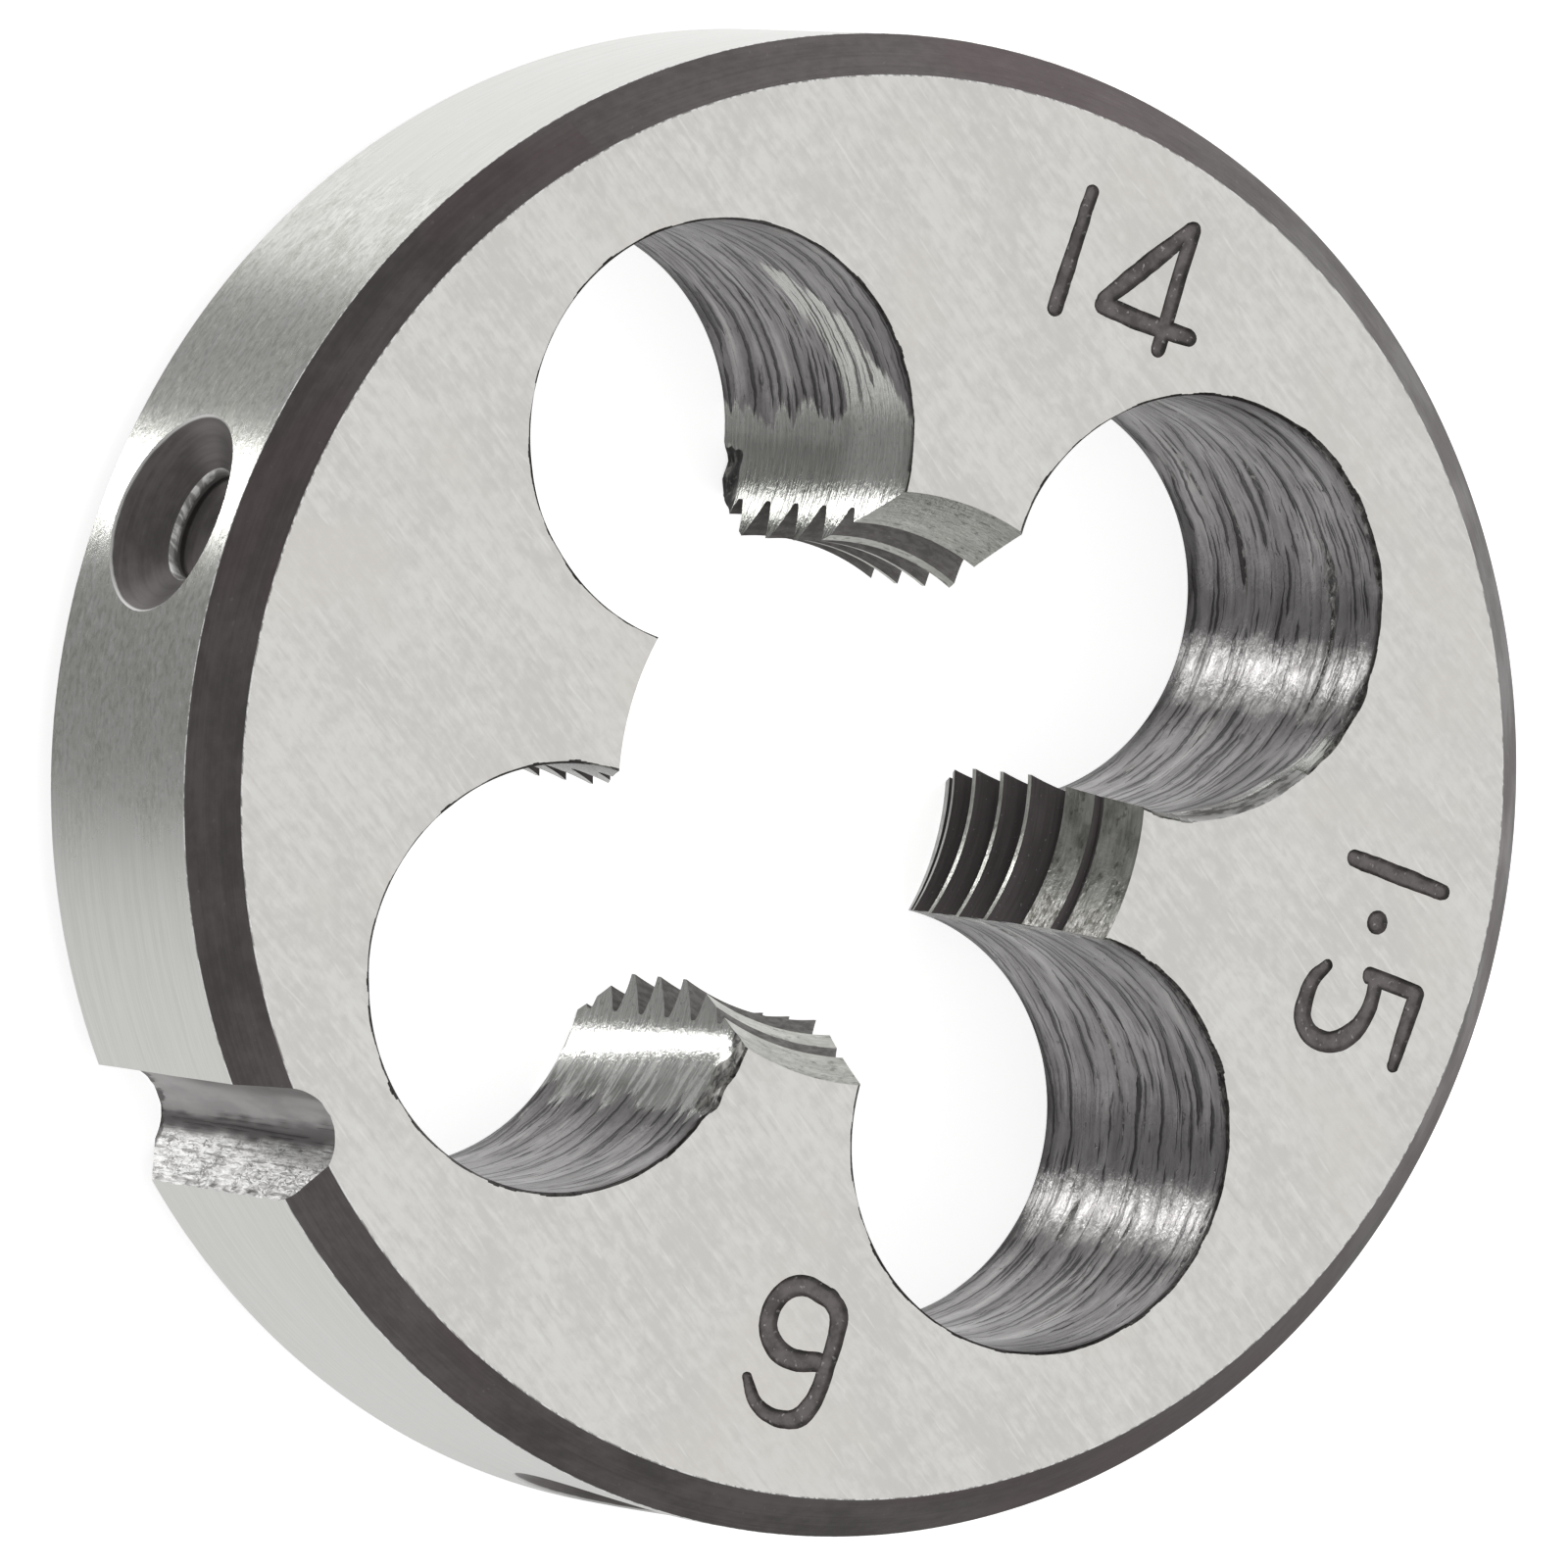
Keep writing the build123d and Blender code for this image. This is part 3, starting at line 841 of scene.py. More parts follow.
def drilled_wall():
    """Chip-hole wall: torn lines run round the hole, and the part by the teeth is ground."""
    s = Shade("drilled_wall", 0.34, 0.40)
    s.b.inputs["Metallic"].default_value = 0.82
    w = s.wander(0.15, 0.22, 1.3, 3, 1)
    w2 = s.wander(0.8, 0.7, 0.24, 13, 8, w)
    w3 = s.wander(3.4, 2.2, 0.12, 23, 18, w2)
    crowd = s.span(s.grain(0.09, 0.30, 9, 19, 1.0), 0.42, 0.60)
    bold, bold_s = s.tears(w3, 0.85, 40.0, 3.4, 0.44, 0.60, 0.125)
    main, main_s = s.tears(w3, 1.9, 90.0, 2.4, 0.47, 0.62, 0.082)
    thin, thin_s = s.tears(w3, 4.1, 160.0, 1.7, 0.47, 0.64, 0.046)
    pit = s.span(s.grain(1.5, 5.2, 5, 45, 3.0, 0.6, 0.4, w2), 0.68, 0.74)
    deep = s.span(s.value_of("deep"), 0.30, 0.85)
    thin = s.mul(thin, s.mix(crowd, 0.35, 1.0))
    tear = s.math("MAXIMUM", s.math("MAXIMUM", bold, s.mul(main, 0.95)), s.math("MAXIMUM", s.mul(thin, 0.8), s.mul(pit, 0.7)))
    shade = s.math("MAXIMUM", bold_s, s.math("MAXIMUM", s.mul(main_s, 0.8), s.mul(thin_s, s.mul(crowd, 0.6))))
    smear = s.grain(0.20, 1.05, 50, 5, 3.0, 0.55, 0.3, w)
    streak = s.grain(0.28, 7.0, 3, 60, 3.0, 0.6, 0.0, w2)
    blot = s.grain(1.6, 2.4, 33, 41, 3.0, 0.6, 0.3)
    # Painted highlight: where the lamp's highlight band falls, the torn lines and their shade are faded.
    band_highlight = s.value_of("band_highlight")
    tear = s.mul(tear, s.span(band_highlight, 0.0, 1.0, 1.0, 0.50))
    shade = s.mul(shade, s.span(band_highlight, 0.0, 1.0, 1.0, 0.35))
    tone = s.add(s.mul(smear, 0.45), s.add(s.mul(streak, 0.25), s.mul(blot, 0.30)))
    raw = s.tint(s.span(tone, 0.36, 0.66), (0.178, 0.168, 0.169), (0.300, 0.288, 0.289))
    raw = s.tint(s.mul(s.span(smear, 0.60, 0.72), 0.45), raw, (0.42, 0.41, 0.40))
    # Painted highlight: inside the band the wall takes a brighter, evener colour.
    even = s.add(s.mul(blot, 0.6), s.mul(s.grain(4.2, 5.6, 21, 14, 3.0, 0.6), 0.4))
    raw = s.tint(s.mul(band_highlight, 0.75), raw, s.tint(s.span(even, 0.38, 0.62), (0.315, 0.305, 0.299), (0.640, 0.629, 0.616)))
    # Painted glints: bright specks along the edges of the highlight band.
    band_edge_glint = s.mul(s.span(band_highlight, 0.02, 0.30), s.span(band_highlight, 0.60, 1.0, 1.0, 0.25))
    raw = s.tint(s.mul(s.mul(band_edge_glint, s.span(s.grain(7.5, 8.5, 91, 14, 2.0, 0.6), 0.62, 0.72)), 0.7), raw, (0.66, 0.655, 0.64))
    raw = s.tint(s.mul(shade, 0.45), raw, (0.075, 0.067, 0.069))
    raw = s.tint(s.mul(tear, 0.95), raw, (0.022, 0.019, 0.020))
    crumb = s.grain(3.4, 4.2, 44, 19, 4.0, 0.7, 0.4)
    broken = s.tint(s.span(crumb, 0.42, 0.66), (0.022, 0.020, 0.019), (0.330, 0.325, 0.305))
    raw = s.tint(s.mul(s.span(deep, 0.15, 0.7), 0.85), raw, broken)
    rad, z = s.place()
    # The rolled lip is painted bright: burnished wear, with a painted highlight.
    rolled = s.mul(s.value_of("lip"), s.span(s.add(z, s.mul(s.math("SUBTRACT", blot, 0.5), 0.8)), 9.25, 9.50))
    raw = s.tint(s.mul(rolled, 0.85), raw, s.tint(s.span(crumb, 0.38, 0.64), (0.340, 0.336, 0.322), (0.860, 0.855, 0.835)))
    # Painted shadow: a near-black band along the foot of the wall, by the plain face that lies on the floor.
    low = s.add(z, s.mul(s.math("SUBTRACT", s.grain(0.30, 0.8, 7, 77, 3.0), 0.5), 1.7))
    raw = s.tint(s.mul(s.span(low, 0.20, 0.80, 1.0, 0.0), 0.88), raw, (0.026, 0.023, 0.023))
    high = s.add(z, s.mul(s.math("SUBTRACT", s.grain(0.9, 0.8, 17, 57, 3.0), 0.5), 0.5))
    raw = s.tint(s.mul(s.mul(s.span(high, 9.72, 9.95), s.span(s.value_of("lip"), 0.0, 0.5, 1.0, 0.2)), 0.7), raw, (0.060, 0.054, 0.052))
    fine = s.grain(0.8, 16.0, 40, 4, 3.0, 0.65)
    share = s.value_of("ground")
    full = s.tint(s.span(fine, 0.3, 0.7), (0.470, 0.474, 0.444), (0.620, 0.622, 0.596))
    half = s.tint(s.span(fine, 0.3, 0.7), (0.250, 0.256, 0.234), (0.375, 0.380, 0.352))
    pale = s.mul(s.span(share, 0.72, 0.98), s.value_of("shine"))
    tongue = s.mul(s.mul(s.span(z, 5.8, 7.4), s.span(z, 9.2, 9.9, 1.0, 0.3)), 0.80)
    sep = s.node("ShaderNodeSeparateXYZ")
    s.feed(sep.inputs[0], s.uv)
    run = sep.outputs[0]
    top = s.mul(s.mul(s.span(run, 125.2, 125.7), s.span(run, 130.0, 131.0, 1.0, 0.0)), 0.5)
    bright = s.tint(s.math("MAXIMUM", s.math("MAXIMUM", pale, tongue), top), half, full)
    flare = s.mul(s.mul(s.span(run, 181.0, 181.8), s.span(run, 183.2, 183.8, 1.0, 0.0)), s.span(s.grain(0.55, 2.6, 77, 13, 4.0, 0.68, 0.4), 0.47, 0.60))
    bright = s.tint(s.mul(flare, 0.75), bright, (0.90, 0.90, 0.87))
    slit = s.mul(s.mul(s.span(run, 121.5, 122.0), s.span(run, 124.2, 124.7, 1.0, 0.0)), s.span(s.grain(0.9, 15.0, 47, 3, 3.0, 0.6), 0.52, 0.60))
    bright = s.tint(s.mul(slit, 0.8), bright, (0.050, 0.049, 0.044))
    stub = s.add(z, s.mul(s.math("SUBTRACT", s.grain(1.4, 1.4, 29, 37, 3.0), 0.5), 1.2))
    stub = s.mul(s.mul(s.span(run, 121.0, 121.5), s.span(run, 124.6, 125.1, 1.0, 0.0)), s.span(stub, 0.85, 1.10, 1.0, 0.0))
    bright = s.tint(s.mul(stub, 0.92), bright, s.tint(s.span(crumb, 0.46, 0.66), (0.014, 0.013, 0.012), (0.100, 0.097, 0.090)))
    fleck = s.grain(5.0, 7.0, 61, 31, 2.0, 0.6)
    bright = s.tint(s.mul(s.span(fleck, 0.60, 0.70), 0.35), bright, (0.16, 0.16, 0.145))
    flame = s.mul(s.math("SUBTRACT", s.grain(0.10, 0.85, 70, 7, 2.0, 0.5), 0.5), 1.0)
    flick = s.mul(s.math("SUBTRACT", s.grain(0.22, 3.6, 75, 17, 3.0, 0.6), 0.5), 0.7)
    edge = s.add(share, s.add(flame, flick))
    by = s.span(edge, 0.44, 0.58)
    by = s.mul(by, s.span(share, 0.04, 0.20))
    along = s.mul(s.span(run, 125.9, 127.2), s.span(run, 133.0, 134.0, 1.0, 0.0))
    by = s.mul(by, s.math("SUBTRACT", 1.0, s.mul(along, s.mul(s.math("MAXIMUM", main, thin), 0.85))))
    color = s.tint(by, raw, bright)
    ragged = s.mul(s.span(deep, 0.05, 0.40), by)
    color = s.tint(s.mul(ragged, 0.95), color, s.tint(s.span(s.value_of("shine"), 0.0, 0.8), s.tint(s.span(crumb, 0.50, 0.68), (0.010, 0.009, 0.009), (0.120, 0.116, 0.108)), s.tint(s.span(crumb, 0.36, 0.64), (0.036, 0.033, 0.030), (0.340, 0.334, 0.312))))
    grit = s.grain(6.5, 7.5, 1, 1, 3.0, 0.65)
    h_raw = s.add(s.add(s.mul(tear, -0.9), s.mul(shade, -0.4)), s.add(s.mul(tone, 0.35), s.add(s.mul(grit, 0.42), s.mul(blot, 0.6))))
    h_raw = s.add(h_raw, s.mul(s.mul(crumb, s.span(deep, 0.15, 0.7)), 2.2))
    h_gr = s.add(s.mul(fine, 0.24), s.add(s.mul(grit, 0.26), s.mul(fleck, -0.10)))
    rough = s.mix(by, s.span(smear, 0.3, 0.7, 0.36, 0.28), s.span(fine, 0.35, 0.65, 0.130, 0.190))
    rough = s.mix(ragged, rough, s.span(s.value_of("shine"), 0.0, 0.8, 0.52, 0.40))
    return s.done(color, rough, s.bump(s.mix(by, h_raw, h_gr), 0.020))


def thread_flank():
    """Thread grooves: dark oxide, with faint lines along the thread; two lands are painted lighter, one more than the
    other (painted light).
    """
    s = Shade("thread_flank", 0.40, 0.3)
    s.b.inputs["Metallic"].default_value = 0.55
    line = s.grain(0.30, 7.0, 2, 2, 3.0, 0.6)
    cloud = s.grain(0.7, 1.5, 8, 1, 3.0)
    tone = s.add(s.mul(line, 0.5), s.mul(cloud, 0.5))
    color = s.tint(s.span(tone, 0.3, 0.7), (0.070, 0.060, 0.061), (0.108, 0.094, 0.096))
    speck = s.span(s.grain(8.0, 8.0, 0, 0, 1.0), 0.76, 0.82)
    sep = s.node("ShaderNodeSeparateXYZ")
    s.feed(sep.inputs[0], s.node("ShaderNodeTexCoord").outputs["Object"])
    # Painted light: the lands in the two quarters where x and y differ in sign get a lighter colour, the one at
    # negative y the lighter.
    quarter = s.span(s.mul(s.mul(sep.outputs[0], sep.outputs[1]), 1000000.0), -12.0, -4.0, 1.0, 0.0)
    painted_light_lands = s.mul(quarter, s.span(sep.outputs[1], -0.001, 0.001, 0.95, 0.55))
    smear = s.grain(2.6, 4.2, 28, 41, 3.0, 0.65, 0.3)
    color = s.tint(painted_light_lands, color, s.tint(s.span(smear, 0.34, 0.66), (0.205, 0.196, 0.190), (0.330, 0.320, 0.308)))
    color = s.tint(s.mul(speck, 0.35), color, (0.40, 0.39, 0.38))
    return s.done(color, s.span(cloud, 0.3, 0.7, 0.32, 0.44), s.bump(tone, 0.008))


def lead_cone():
    """Tips of the teeth and the lead cones: ground, with fine lines and grit."""
    s = Shade("lead_cone", 0.33, 0.45)
    line = s.grain(0.5, 14.0, 2, 2, 3.0, 0.6)
    cloud = s.grain(1.1, 1.8, 8, 1, 3.0)
    fleck = s.grain(3.2, 4.6, 28, 41, 3.0, 0.65, 0.3)
    tone = s.add(s.mul(line, 0.35), s.add(s.mul(cloud, 0.35), s.mul(fleck, 0.30)))
    color = s.tint(s.span(tone, 0.34, 0.66), (0.392, 0.398, 0.362), (0.600, 0.602, 0.566))
    pit = s.span(s.grain(2.6, 4.5, 15, 4, 2.0, 0.6), 0.60, 0.72)
    color = s.tint(s.mul(pit, 0.60), color, (0.150, 0.146, 0.130))
    rad, z = s.place()
    # Painted reflection: towards the plain face the lead cone is painted near white, standing in for the light it
    # mirrors from below.
    color = s.tint(s.mul(s.span(z, 1.2, 2.6, 1.0, 0.0), 0.8), color, s.tint(s.span(fleck, 0.40, 0.62), (0.62, 0.615, 0.59), (0.90, 0.895, 0.88)))
    grit = s.grain(6.0, 7.0, 4, 4, 3.0, 0.65)
    sep = s.node("ShaderNodeSeparateXYZ")
    s.feed(sep.inputs[0], s.uv)
    u = s.add(sep.outputs[0], s.mul(s.math("SUBTRACT", s.grain(1.4, 2.6, 31, 6, 3.0), 0.5), 1.2))
    # Painted highlight: a bright sparkle patch on one land's lead cone, by the marked face.
    low = s.mul(s.mul(s.span(u, 2.9, 3.2), s.span(u, 4.1, 4.7, 1.0, 0.0)), s.span(z, 6.6, 6.9))
    spark = s.span(s.grain(3.4, 8.0, 61, 16, 4.0, 0.7, 0.2), 0.34, 0.66)
    color = s.tint(s.mul(low, 0.80), color, s.tint(spark, (0.200, 0.192, 0.160), (0.92, 0.91, 0.87)))
    # Painted shadow: a dark line beside that sparkle patch.
    end = s.mul(s.mul(s.span(u, 3.05, 3.25, 1.0, 0.0), s.span(u, 2.0, 2.2)), s.span(z, 6.6, 6.9))
    color = s.tint(s.mul(end, 0.75), color, (0.045, 0.042, 0.038))
    return s.done(color, s.span(cloud, 0.3, 0.7, 0.28, 0.40), s.bump(s.add(s.mul(line, 0.4), s.add(s.mul(fleck, 0.6), s.mul(grit, 0.7))), 0.014))


def notch_wall():
    """Notch: one flank plain, lines along the root, the other flank torn and bright."""
    s = Shade("notch_wall", 0.38, 0.0)
    torn = s.value_of("torn")
    w = s.wander(0.4, 1.2, 0.10, 3, 1)
    w2 = s.wander(2.4, 3.0, 0.04, 13, 11, w)
    rl, rs = s.tears(w2, 4.5, 20.0, 2.0, 0.40, 0.62, 0.050)
    near = s.span(s.add(s.value_of("root"), s.mul(s.math("SUBTRACT", s.grain(0.7, 2.6, 41, 8, 3.0), 0.5), 0.7)), 0.25, 0.85)
    root = s.mul(s.math("MAXIMUM", rl, s.mul(rs, 0.7)), near)
    cloud = s.grain(0.5, 1.1, 5, 5, 3.0)
    plain = s.tint(s.span(cloud, 0.3, 0.7), (0.292, 0.281, 0.278), (0.365, 0.352, 0.348))
    plain = s.tint(s.mul(near, 0.70), plain, (0.090, 0.084, 0.083))
    rip = s.grain(1.8, 9.5, 12, 8, 4.0, 0.70, 0.2, w)
    scale = s.tint(s.span(rip, 0.36, 0.60), (0.520, 0.515, 0.503), (0.880, 0.876, 0.864))
    dl, ds = s.tears(w2, 3.6, 60.0, 1.1, 0.48, 0.62, 0.050)
    bl, _ = s.tears(w2, 4.2, 130.0, 1.0, 0.50, 0.64, 0.045)
    gap = s.mul(s.ridge(s.grain(1.9, 3.8, 21, 5, 3.0, 0.6, 1.4, w), 0.045), s.span(s.grain(0.9, 1.6, 3, 30, 2.0), 0.44, 0.58))
    pits = s.span(s.grain(2.0, 4.0, 33, 12, 2.0, 0.6), 0.69, 0.76)
    deep = s.span(s.value_of("deep"), 0.35, 0.9)
    scale = s.tint(s.mul(bl, 0.6), scale, (0.84, 0.835, 0.82))
    dark = s.math("MAXIMUM", s.math("MAXIMUM", s.mul(gap, 0.70), s.mul(dl, 0.6)), s.math("MAXIMUM", s.mul(pits, 0.8), s.mul(deep, 0.75)))
    scale = s.tint(s.mul(dark, 0.85), scale, (0.085, 0.078, 0.076))
    color = s.tint(torn, plain, scale)
    color = s.tint(s.mul(root, 0.80), color, (0.050, 0.045, 0.045))
    rad, z = s.place()
    end = s.add(z, s.mul(s.math("SUBTRACT", s.grain(0.9, 1.3, 15, 25, 3.0, 0.6), 0.5), s.mix(torn, 2.0, 0.6)))
    color = s.tint(s.mul(s.span(end, 0.12, 0.36, 1.0, 0.0), 0.85), color, (0.045, 0.040, 0.039))
    grit = s.grain(6.0, 7.0, 4, 4, 3.0, 0.6)
    h = s.mix(torn, s.add(s.mul(cloud, 0.3), s.mul(root, -0.6)), s.add(s.mul(rip, 0.9), s.add(s.mul(grit, 0.7), s.mul(dark, -0.6))))
    return s.done(color, s.mix(torn, 0.42, 0.46), s.bump(h, 0.012))


def recess_wall():
    """Screw recess: dark oxide with faint turned rings; its pilot wall is painted lighter and the ring where it opens
    into the rim is painted bright (painted light).
    """
    s = Shade("recess_wall", 0.38, 0.0)
    s.b.inputs["Metallic"].default_value = 0.72
    ring = s.grain(0.35, 9.0, 2, 2, 2.0, 0.6)
    cloud = s.grain(0.5, 0.9, 8, 1, 3.0)
    fleck = s.grain(3.0, 4.0, 14, 13, 3.0, 0.6)
    tone = s.add(s.mul(ring, 0.22), s.add(s.mul(cloud, 0.48), s.mul(fleck, 0.30)))
    color = s.tint(s.span(tone, 0.34, 0.66), (0.100, 0.088, 0.088), (0.165, 0.148, 0.147))
    rad, z = s.place()
    # Painted light: the pilot wall is lightened where it would mirror only dark surroundings.
    wall = s.mul(s.span(rad, 17.92, 17.97, 1.0, 0.0), s.span(rad, 17.74, 17.80))
    color = s.tint(s.mul(wall, 0.8), color, (0.440, 0.425, 0.420))
    # Painted highlight: a bright ring along the edge where the recess meets the rim.
    mouth_highlight = s.span(s.add(rad, s.mul(fleck, 0.03)), 18.945, 18.985)
    color = s.tint(s.mul(mouth_highlight, 0.9), color, (0.72, 0.715, 0.70))
    return s.done(color, s.span(cloud, 0.3, 0.7, 0.34, 0.46), s.bump(s.mul(tone, s.span(rad, 17.92, 17.97, 0.15, 1.0)), 0.007))


def mark_floor():
    """Engraved strokes: dark and slightly rough, with a few bright grains."""
    s = Shade("mark_floor", 0.42, 0.0)
    s.b.inputs["Metallic"].default_value = 0.75
    cloud = s.grain(2.2, 2.2, 8, 1, 3.0, 0.6)
    color = s.tint(s.span(cloud, 0.3, 0.7), (0.086, 0.077, 0.076), (0.170, 0.153, 0.151))
    speck = s.span(s.grain(7.0, 7.0, 0, 0, 2.0), 0.66, 0.76)
    color = s.tint(s.mul(speck, 0.6), color, (0.45, 0.44, 0.43))
    return s.done(color, s.span(cloud, 0.3, 0.7, 0.34, 0.48), s.bump(s.grain(5.0, 5.0, 3, 3, 3.0, 0.6), 0.012))


def edge_wear_and_glint():
    """Hairline rounds on the edges: bright in places, dull in others. The bright parts are worn metal and a painted
    highlight.
    """
    s = Shade("edge_wear_and_glint", 0.34, 0.0)
    s.b.inputs["Metallic"].default_value = 0.55
    cloud = s.grain(1.2, 5.2, 8, 1, 4.0, 0.66, 0.2)
    # Painted highlight: the rounds are painted up to near white, partly as worn bright metal.
    color = s.tint(s.span(cloud, 0.38, 0.60), (0.36, 0.355, 0.34), (0.90, 0.895, 0.88))
    rad, z = s.place()
    pilot = s.mul(s.mul(s.span(rad, 16.60, 16.70), s.span(rad, 17.76, 17.80, 1.0, 0.0)), s.mul(s.span(z, 2.0, 2.2), s.span(z, 8.0, 8.2, 1.0, 0.0)))
    color = s.tint(s.mul(pilot, 0.97), color, (0.110, 0.097, 0.097))
    return s.done(color, s.span(cloud, 0.3, 0.7, 0.28, 0.42), s.bump(s.grain(6.0, 6.0, 3, 3, 2.0, 0.6), 0.004))


MATS = [ground_face(), ground_rim(), dark_chamfer(), drilled_wall(), thread_flank(), lead_cone(),
        notch_wall(), recess_wall(), mark_floor(), edge_wear_and_glint()]


# ---- normals, the "mm" map and the masks that the materials read ---------
def wrap(a):
    return (a + math.pi) % TAU - math.pi


def dress(me):
    nl, npoly, nvert, nedge = len(me.loops), len(me.polygons), len(me.vertices), len(me.edges)
    co = np.empty(nvert * 3)
    me.vertices.foreach_get("co", co)
    co = co.reshape(-1, 3)
    lv = np.empty(nl, np.int32)
    me.loops.foreach_get("vertex_index", lv)
    le = np.empty(nl, np.int32)
    me.loops.foreach_get("edge_index", le)
    total = np.empty(npoly, np.int32)
    me.polygons.foreach_get("loop_total", total)
    mat = np.empty(npoly, np.int32)
    me.polygons.foreach_get("material_index", mat)
    pn = np.empty(npoly * 3)
    me.polygons.foreach_get("normal", pn)
    pn = pn.reshape(-1, 3)
    pc = np.empty(npoly * 3)
    me.polygons.foreach_get("center", pc)
    pc = pc.reshape(-1, 3)
    pid = np.repeat(np.arange(npoly), total)
    P, C, F, R = co[lv], pc[pid], pn[pid], mat[pid]
    phi_c = np.arctan2(C[:, 1], C[:, 0])
    phi = phi_c + wrap(np.arctan2(P[:, 1], P[:, 0]) - phi_c)
    rad = np.hypot(P[:, 0], P[:, 1])
    er = np.column_stack([np.cos(phi), np.sin(phi), np.zeros(nl)])
    et = np.column_stack([-np.sin(phi), np.cos(phi), np.zeros(nl)])
    ez = np.array([0.0, 0.0, 1.0])
    N = np.zeros((nl, 3))
    UV = np.column_stack([P[:, 0], P[:, 1]])
    top = np.sign(F[:, 2])

    m = R == FACE
    c, s = math.cos(GRIND_ANG), math.sin(GRIND_ANG)
    side = np.where(F[:, 2] > 0, 60.0, 0.0)
    UV[m] = np.column_stack([P[:, 0] * c + P[:, 1] * s, -P[:, 0] * s + P[:, 1] * c + side])[m]
    N[m, 2] = top[m]

    m = R == RIM
    UV[m] = np.column_stack([phi * R_OUT, P[:, 2]])[m]
    N[m] = er[m]

    m = R == CHAMFER
    h = math.hypot(CH_R, CH_Z)
    UV[m] = np.column_stack([phi * R_OUT, P[:, 2] * 1.3])[m]
    N[m] = (er * (CH_Z / h) + top[:, None] * ez * (CH_R / h))[m]

    m = R == LEAD
    UV[m] = np.column_stack([phi * 6.8, P[:, 2]])[m]
    cyl = m & (np.abs(F[:, 2]) < 0.1)
    N[cyl] = -er[cyl]
    cone = m & (np.abs(F[:, 2]) >= 0.1)
    N[cone] = (-er * math.cos(LEAD_HALF) + top[:, None] * ez * math.sin(LEAD_HALF))[cone]

    m = R == FLANK
    turn = P[:, 2] - PITCH * phi / TAU
    UV[m] = np.column_stack([phi * 6.5, rad * 1.5 + turn * 0.6])[m]
    f = math.tan(math.radians(30.0))
    lean = PITCH / (TAU * np.maximum(rad, 1.0))
    for sgn in (1.0, -1.0):
        n = sgn * (ez + er * (-f * sgn) - et * lean[:, None])
        n = n / np.linalg.norm(n, axis=1)[:, None]
        ok = m & ((n * F).sum(1) > 0.97)
        N[ok] = n[ok]

    m = R == CHIP
    best = np.full(nl, 1e9)
    hu = np.zeros(nl)
    for k, angle in enumerate(HOLES):
        hx, hy = CHIP_PR * math.cos(math.radians(angle)), CHIP_PR * math.sin(math.radians(angle))
        d = np.abs(np.hypot(C[:, 0] - hx, C[:, 1] - hy) - CHIP_R)
        ac = np.arctan2(C[:, 1] - hy, C[:, 0] - hx)
        out = math.radians(angle if angle <= 180 else angle - 360)
        ac = out + wrap(ac - out)
        a = ac + wrap(np.arctan2(P[:, 1] - hy, P[:, 0] - hx) - ac)
        near = d < best
        best = np.where(near, d, best)
        hu = np.where(near, a * CHIP_R + 60.0 * k, hu)
    UV[m] = np.column_stack([hu, P[:, 2]])[m]

    m = (R == EDGE) & (best < 0.9)
    UV[m] = np.column_stack([hu, P[:, 2]])[m]

    m = R == NOTCH
    UV[m] = np.column_stack([P[:, 2], P[:, 0] * 2.0])[m]

    m = R == RECESS
    for k, angle in enumerate(REC_ANG):
        a = math.radians(angle)
        x = P @ np.array([math.cos(a), math.sin(a), 0.0])
        t = P @ np.array([-math.sin(a), math.cos(a), 0.0])
        z = P[:, 2] - REC_Z
        ang = np.arctan2(z, t)
        here = m & (np.hypot(t, z) < 3.4) & (x > 10.0)
        UV[here] = np.column_stack([t * 0.6 + 20.0 * k, np.hypot(t, z)])[here]

    layer = me.uv_layers.new(name="mm")
    layer.uv.foreach_set("vector", UV.astype(np.float32).ravel())

    # Masks on the points.
    deep = np.zeros(nvert)
    ground = np.zeros(nvert)
    shine = np.zeros(nvert)
    torn = np.zeros(nvert)
    root = np.zeros(nvert)
    band_highlight = np.zeros(nvert)
    lip = np.zeros(nvert)
    best = np.full(nvert, 1e9)
    for angle in HOLES:
        th = math.radians(angle)
        dx, dy = co[:, 0] - CHIP_PR * math.cos(th), co[:, 1] - CHIP_PR * math.sin(th)
        r = np.hypot(dx, dy)
        near = np.abs(r - CHIP_R) < np.minimum(best, 0.75)
        best = np.where(near, np.abs(r - CHIP_R), best)
        turned = np.arctan2(dy, dx)
        ground = np.where(near, ground_share(turned, co[:, 2], angle), ground)
        shine = np.where(near, SHINE[angle], shine)
        # Mask of the painted highlight band on the chip-hole walls.
        band_highlight = np.where(near, highlight_band_share(turned, co[:, 2], angle), band_highlight)
        lip = np.where(near, worn_side(turned, angle), lip)
        out = r - CHIP_R - drift(turned, co[:, 2], angle)
        deep = np.where(near, np.clip(out / 0.06, 0.0, 1.0), deep)
    inn = np.unique(lv[R == NOTCH])
    x, y = -co[inn, 1], co[inn, 0]
    flank = (np.abs(y) - (x - N_APEX) * math.tan(NOTCH_HALF)) * math.cos(NOTCH_HALF)
    arc = np.hypot(x - N_CX, y) - NOTCH_RR
    away = np.where(x > N_TX, flank, arc)
    deep[inn] = np.clip(away / 0.07, 0.0, 1.0)
    wave = 0.035 * np.sin(co[inn, 2] * 2.1) + 0.02 * np.sin(co[inn, 2] * 5.3 + 1.0) + 0.012 * (co[inn, 2] - 5.0)
    torn[inn] = np.clip((y - 0.83 + wave) / 0.09, 0.0, 1.0)
    root[inn] = np.clip(1.0 - np.abs(y - 0.60 + wave) / (0.28 + 0.035 * co[inn, 2]), 0.0, 1.0)
    for name, v in (("deep", deep), ("ground", ground), ("shine", shine), ("band_highlight", band_highlight), ("lip", lip), ("torn", torn), ("root", root)):
        att = me.attributes.new(name, "FLOAT", "POINT")
